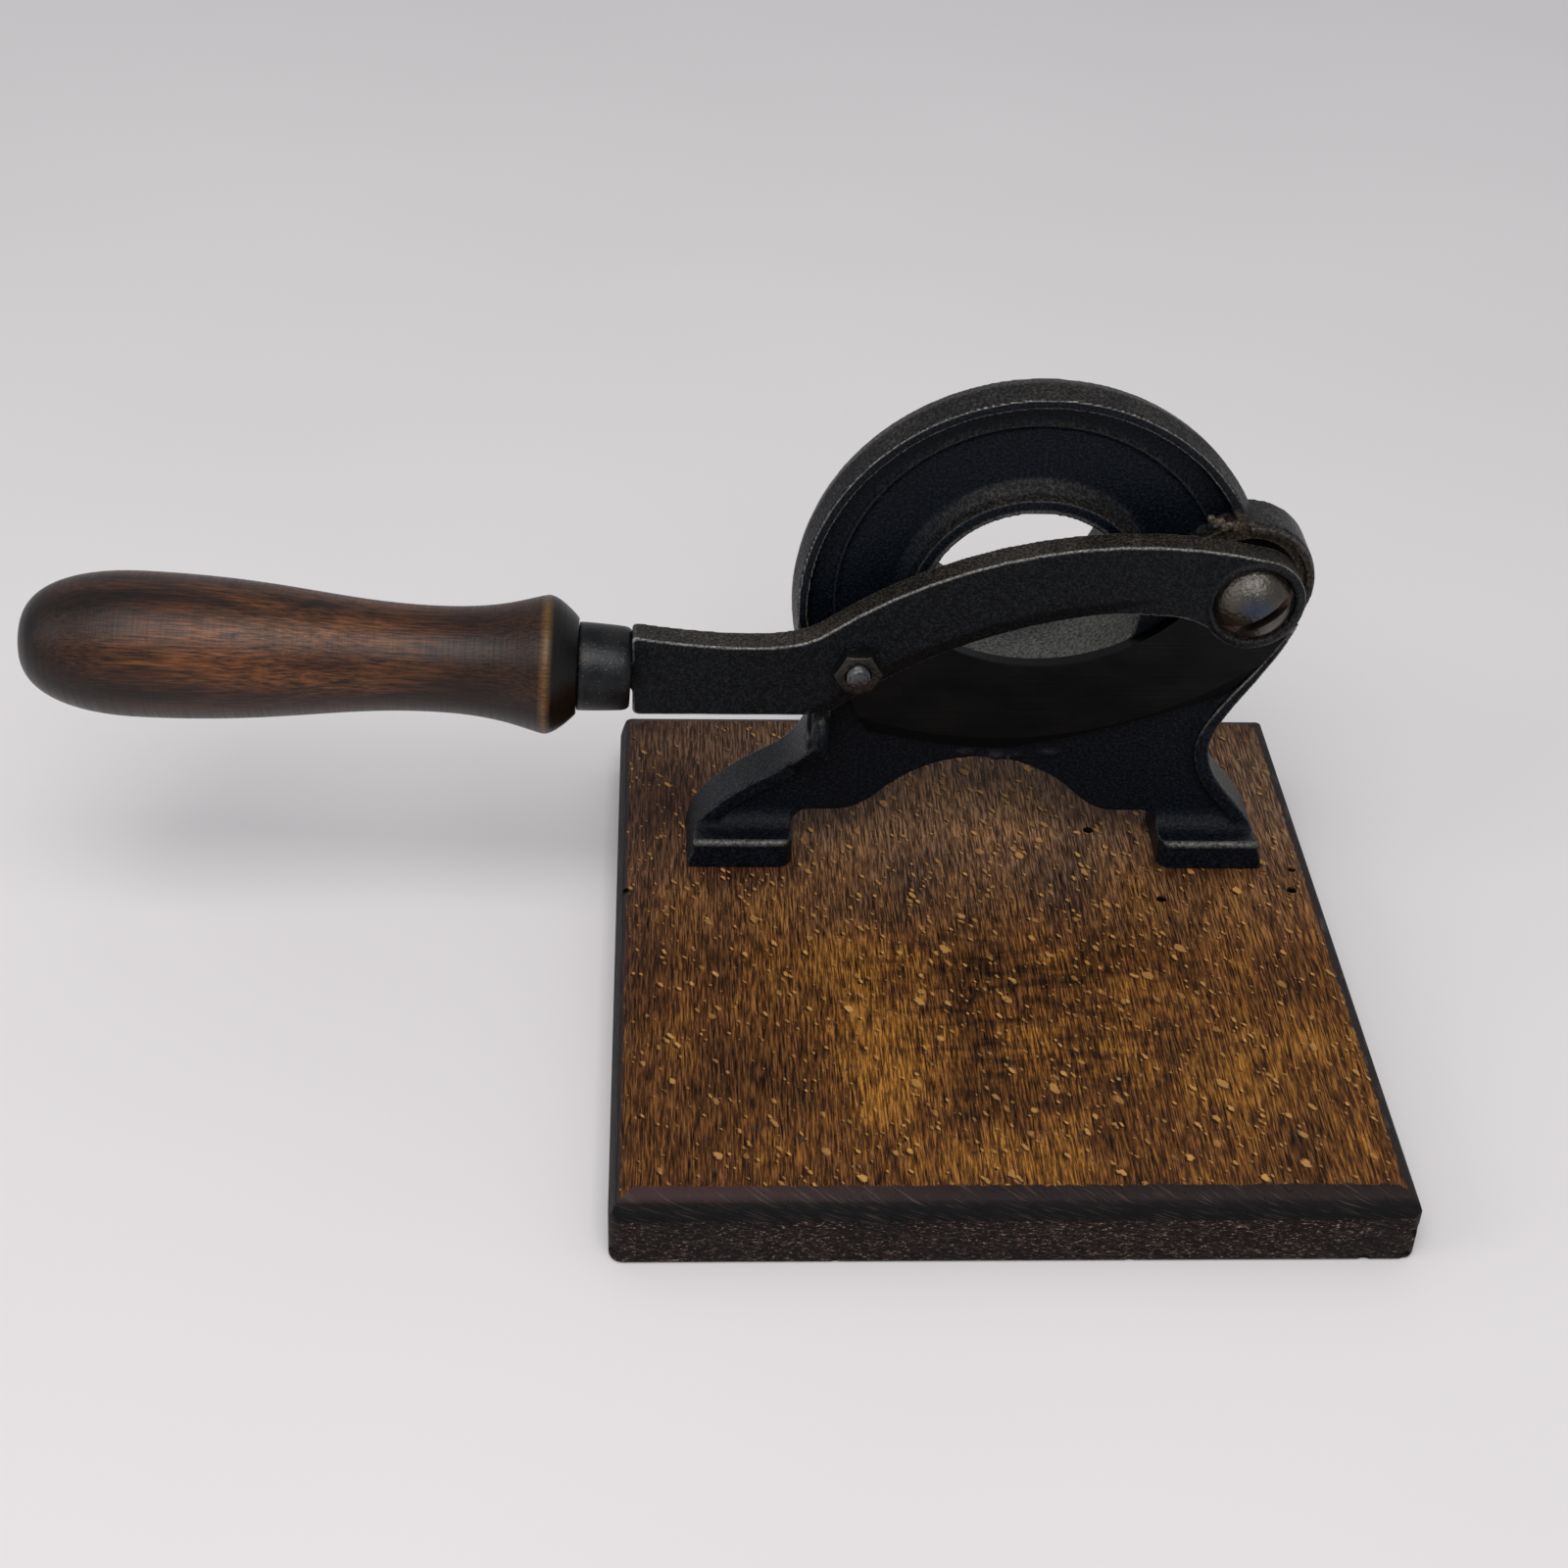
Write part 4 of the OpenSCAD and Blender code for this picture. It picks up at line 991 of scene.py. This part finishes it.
# %% Paint the grip
def turned_hardwood():
    """Turned hardwood, stained and handled: reddish brown, finely grained, softly glossy, with dark ends and
    painted shade on the cone and the underside.
    """
    finish, node, spot, shader = new_finish("stained_turned_hardwood")
    on_axis = {"Location": HANDLE_AT, "Rotation": (0.0, HANDLE_TILT, 0.0)}
    axis = sized(spot, 1, 1, 1, **on_axis)
    reach = node("SeparateXYZ", axis)
    along = node("MapRange", reach.outputs[2], GRIP_START, GRIP_START + GRIP_L)
    fibre = node("TexNoise",
                 {"Vector": sized(spot, 0.36, 0.36, 7, **on_axis), "Detail": 5.0, "Roughness": 0.7})
    broad = node("TexNoise", {"Vector": sized(spot, 5, 5, 40, **on_axis), "Detail": 3.0})
    lathe = node("TexNoise", {"Vector": sized(spot, 30, 30, 0.5, **on_axis), "Detail": 3.0})
    blotch = node("MapRange", broad, 0.3, 0.72)
    body = node("Mix", blotch, "#2c170e", "#8a5936")
    streak = node("ValToRGB", fibre, stops=[(0.36, "#453a35"), (0.5, "#bdb2a7"), (0.62, "#fff8ee")])
    body = node("Mix", 1.0, body, streak, blend_type="MULTIPLY")
    # darker at both ends along the grip: the cone at the start is painted shade, the neck holds dirt, the far
    # end is darker
    dirt = node("ValToRGB", along,
                stops=[(0.0, "#201c1b"), (0.045, "#2c2726"), (0.065, "#8a8482"), (0.2, "#807876"),
                       (0.36, "#f2efec"), (0.7, "#f4efe9"), (0.86, "#a0978f"), (1.0, "#362e2b")])
    body = node("Mix", 1.0, body, dirt, blend_type="MULTIPLY")
    facing = node("SeparateXYZ", spot.outputs["Normal"]).outputs
    # painted shade: the underside is darkened
    underside_shade = node("MapRange", facing[2], 0.25, -0.7, 0.0, 0.9)
    body = node("Mix", underside_shade, body, "#150a07")
    crest = node("Math", reach.outputs[2], GRIP_START + GRIP_CREST, operation="SUBTRACT")
    crest = node("Math", crest, operation="ABSOLUTE")
    crest = node("MapRange", crest, 1.3, 0.2)
    worn = node("MapRange", fibre, 0.35, 0.6, 0.25, 0.9)
    bare = node("Math", crest, worn)
    body = node("Mix", bare, body, "#6b4c26")
    satin = node("MapRange", lathe, 0.3, 0.7, 0.42, 0.3)
    marks = node("Math", fibre, lathe, operation="ADD")
    bump = node("Bump", {"Strength": 0.6, "Distance": 0.1 * MM, "Height": marks})
    fill(shader, {"Base Color": body, "Roughness": satin, "Specular IOR Level": 0.3, "Normal": bump})
    return finish


put_on(grip, "lever", "grip_wood", turned_hardwood(), "handle_grip", smooth=40)

# %% Turn and paint the ferrule
def drawn_tube():
    """Drawn steel tube, browned: smooth dark grey metal with a few pale pits."""
    finish, node, spot, shader = new_finish("browned_drawn_steel")
    cloud = node("TexNoise", {"Vector": sized(spot, 4, 4, 4), "Detail": 5.0})
    pit = node("TexNoise", {"Vector": sized(spot, 0.5, 0.5, 0.5), "Detail": 4.0})
    tone = node("ValToRGB", cloud, stops=[(0.3, "#202123"), (0.55, "#2b2c2d"), (0.75, "#38352f")])
    spots = node("MapRange", pit, 0.64, 0.74, 0.0, 0.7)
    body = node("Mix", spots, tone, "#77726a")
    satin = node("MapRange", cloud, 0.0, 1.0, 0.3, 0.48)
    bump = node("Bump", {"Strength": 0.7, "Distance": 0.12 * MM, "Height": pit})
    fill(shader, {"Base Color": body, "Metallic": 0.9, "Roughness": satin, "Normal": bump})
    return finish


belly = [(0.3, 7.05), (0.4, 7.25), (0.65, 7.5), (1.1, 7.74), (1.8, 7.9), (4.0, 8.06), (6.5, 8.2), (8.8, 8.29),
         (9.9, 8.3), (10.15, 8.1), (10.2, 7.6)]
ferrule = turned("ferrule_tube", belly)
bore = FERRULE_R - FERRULE_WALL
cut(ferrule, turned("ferrule_bore", [(-1.0, bore), (12.0, bore)]))
laid(ferrule, along_handle)
put_on(ferrule, "lever", "ferrule_steel", drawn_tube(), "ferrule", smooth=40)

# %% [markdown]
# ## Screws, nuts and washers
# The pivot screw has a domed head with a saw-cut slot. A nut starts as a six-sided prism, is crossed with a
# turned barrel, which gives the curved chamfers on its corners, and is drilled. Steel parts are worn bright
# on their tops and brown with rust in their corners.

# %% Paint the steel
def worn_steel(name, bright, dark, rust, rusted, rough, slot=None, bluish_reflection=None):
    """Turned mild steel, handled and rusting: worn bright where it stands out, brown where it lies low."""
    finish, node, spot, shader = new_finish(name)
    cloud = node("TexNoise", {"Vector": sized(spot, 3.5, 3.5, 3.5), "Detail": 6.0, "Roughness": 0.65})
    pit = node("TexNoise", {"Vector": sized(spot, 0.7, 0.7, 0.7), "Detail": 4.0})
    metal = node("Mix", cloud, dark, bright)
    # painted reflection: a bluish patch in the ellipsoid that is given
    if bluish_reflection:
        tint = node("Math", near(spot, *bluish_reflection), 0.8)
        metal = node("Mix", tint, metal, "#2f3f55")
    form = node("NewGeometry")
    low = node("MapRange", form.outputs["Pointiness"], 0.5, 0.42)
    patch = node("MapRange", cloud, rusted, rusted + 0.15)
    brown = node("Math", low, patch, operation="MAXIMUM")
    if slot:
        brown = node("Math", brown, near(spot, *slot), operation="MAXIMUM")
    body = node("Mix", brown, metal, rust)
    ridge = node("MapRange", form.outputs["Pointiness"], 0.53, 0.62, 0.0, 0.7)
    body = node("Mix", ridge, body, bright)
    bare = node("MapRange", brown, 0.0, 1.0, 0.95, 0.1)
    satin = node("MapRange", brown, 0.0, 1.0, rough, 0.75)
    bump = node("Bump", {"Strength": 0.8, "Distance": 0.25 * MM, "Height": pit})
    fill(shader, {"Base Color": body, "Metallic": bare, "Roughness": satin, "Normal": bump})
    return finish


screw_steel = worn_steel("worn_blued_steel", "#6b6a69", "#2c323a", "#4a3122", rusted=0.62, rough=0.32)
nut_steel = worn_steel("rusted_mild_steel", "#4d4a46", "#191b1d", "#30251d", rusted=0.57, rough=0.38)
print("steels:", screw_steel.name, nut_steel.name)

# %% Make the pivot screw
HEAD_R, DOME_H, PIVOT_R, PIVOT_PLAIN = 7.3, 4.8, 4.0, 14.0
SLOT_W, SLOT_D, SLOT_SHIFT, SAW_R = 2.0, 4.0, 1.6, 14.0
SLOT_TURN = math.radians(33.0)
SEAT = LEVER_FRONT + 1.0 - 0.12
PIVOT_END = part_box("pivot_screw")[1].y / MM
dome_r = (HEAD_R ** 2 + DOME_H ** 2) / (2 * DOME_H)
dome = [(-DOME_H + dome_r * (1 - math.cos(a)), dome_r * math.sin(a))
        for a in (math.radians(d) for d in (1, 5, 10, 15, 20, 26, 32, 38, 44, 50, 56, 62, 66))]
shank = [(-0.25, HEAD_R), (-0.05, HEAD_R - 0.1), (0.0, HEAD_R - 0.3), (0.02, PIVOT_R), (10.0, PIVOT_R)]
nose = PIVOT_END - SEAT
thread = threaded(PIVOT_PLAIN, nose - 0.5, PIVOT_R)
pivot_screw = turned("pivot_screw_domed", dome + shank + thread + [(nose, 3.3)])
saw_x, saw_y = SLOT_SHIFT * math.sin(SLOT_TURN), SLOT_SHIFT * math.cos(SLOT_TURN)
cut(pivot_screw, added("screw_slot", cylinder, (saw_x, saw_y, SLOT_D - DOME_H - SAW_R),
                       (math.pi / 2, 0, -SLOT_TURN), vertices=160, radius=SAW_R, depth=SLOT_W))
edges_broken(pivot_screw, width=0.16, angle=50)
laid(pivot_screw, along_y(PIVOT.x, SEAT, PIVOT.z))
SLOT = ((PIVOT.x + saw_x, SEAT, PIVOT.z - saw_y), (12.0, 12.0, SLOT_W * 0.5), 0.05, -SLOT_TURN)
# painted reflection: a bluish patch on the dome's centre
DOME_BLUISH_REFLECTION = ((PIVOT.x - 0.3, SEAT - DOME_H + 0.3, PIVOT.z + 1.2), (4.4, 4.0, 2.8), 0.9)
slotted_steel = worn_steel("worn_slotted_steel", "#726b62", "#1f2226", "#35231a", rusted=0.8, rough=0.34,
                           slot=SLOT, bluish_reflection=DOME_BLUISH_REFLECTION)
put_on(pivot_screw, "stand", "screw_steel", slotted_steel, "pivot_screw", smooth=35)


# %% Make the nuts
def hex_nut(name, flats, thick, hole):
    """A drilled six-sided nut with chamfered corners, made along Z."""
    corner, face = flats / 2 / math.cos(math.radians(30)), flats / 2 * 0.96
    drop, clear, sink = (corner - face) * 0.6, 0.01, 0.35
    nut = added(name, cylinder, (0, 0, thick / 2), (0, 0, math.radians(30)), vertices=6, radius=corner,
                depth=2 * thick)
    barrel = [(0, face), (drop, corner + clear), (thick - drop, corner + clear), (thick, face)]
    drill = [(-0.1, hole + sink), (sink, hole), (thick - sink, hole), (thick + 0.1, hole + sink)]
    cut(nut, turned("barrel", barrel, 90), "INTERSECT")
    cut(nut, turned("drill", drill, 48))
    return edges_broken(nut, width=0.07, angle=25)


CLAMP_X, CLAMP_Z, CLAMP_NUT_H = -24.8, 62.6, 3.6
clamp_nut = laid(hex_nut("clamp_nut_hex", flats=8.0, thick=CLAMP_NUT_H, hole=2.25),
                 along_y(CLAMP_X, LEVER_FRONT - CLAMP_NUT_H, CLAMP_Z))
put_on(clamp_nut, "lever", "nut_steel", nut_steel, "clamp_nut")
NUT_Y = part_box("pivot_nut")[0].y / MM
pivot_nut = laid(hex_nut("pivot_nut_hex", flats=13.0, thick=5.0, hole=4.05),
                 along_y(PIVOT.x, NUT_Y, PIVOT.z))
put_on(pivot_nut, "stand", "nut_steel", nut_steel, "pivot_nut")

# %% Make the clamp screw
CLAMP_FRONT, CLAMP_BACK = (c.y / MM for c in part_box("clamp_screw"))
CLAMP_R = 2.2
length = CLAMP_BACK - CLAMP_FRONT
clamp = [(0.0, 1.5), (0.12, 1.72), (0.4, 1.85)] + threaded(0.4, 5.6, CLAMP_R, pitch=0.75, depth=0.3)
clamp += [(5.8, CLAMP_R), (length - 2.0, CLAMP_R), (length - 0.15, 4.15), (length, 4.1)]
clamp_screw = turned("clamp_screw_slotted", clamp, 48)
cut(clamp_screw, block("clamp_slot", (0, 0, length), (12.0, 1.1, 2.0), (0, 0, math.radians(20))))
laid(clamp_screw, along_y(CLAMP_X, CLAMP_FRONT, CLAMP_Z))
put_on(clamp_screw, "lever", "screw_steel", screw_steel, "clamp_screw")


# %% Make the washers and the foot screws
def washer(name, radius, thick, hole):
    """A stamped washer: one edge rolled over by the punch, made along Z."""
    rolled = [(thick - 0.35, radius), (thick - 0.1, radius - 0.12), (thick, radius - 0.4)]
    ring = turned(name, [(0, radius - 0.1), (0.1, radius)] + rolled, 64)
    return cut(ring, turned("punch", [(-1, hole), (thick + 1, hole)], 48))


WASHER_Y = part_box("pivot_washer")[0].y / MM
pivot_washer = laid(washer("pivot_washer_stamped", radius=8.0, thick=1.4, hole=4.15),
                    along_y(PIVOT.x, WASHER_Y, PIVOT.z))
put_on(pivot_washer, "stand", "screw_steel", screw_steel, "pivot_washer")

FOOT_LOW, FOOT_HIGH = (c.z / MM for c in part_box("foot_screws"))
FOOT_R, FOOT_HEAD_H = 2.5, 2.6
head = [(0.0, 3.9), (0.25, 4.25), (0.6, 4.4), (2.5, 4.4), (FOOT_HEAD_H, 4.3), (2.62, FOOT_R)]
foot = [(FOOT_LOW + up, radius) for up, radius in head] + [(12.0, FOOT_R)]
foot += threaded(12.2, FOOT_HIGH - 0.6, FOOT_R) + [(FOOT_HIGH, 1.9)]
bolts, rings = [], []
for x, y in FOOT_SCREWS:
    slot_turn = (0, 0, x)
    bolt = turned("bolt", foot, 48)
    cut(bolt, block("bolt_slot", (0, 0, FOOT_LOW), (12.0, 1.2, 2.4), slot_turn))
    bolts.append(laid(bolt, Matrix.Translation((x * MM, y * MM, 0))))
    ring_at = Matrix.Translation((x * MM, y * MM, (FOOT_LOW + FOOT_HEAD_H) * MM))
    rings.append(laid(washer("ring", radius=6.0, thick=1.2, hole=2.65), ring_at))
for parts, name, node in ((bolts, "foot_screws_slotted", "foot_screws"),
                          (rings, "foot_washers_stamped", "foot_washers")):
    pair = joined(*parts)
    pair.name = pair.data.name = name
    put_on(pair, "stand", "screw_steel", screw_steel, node)
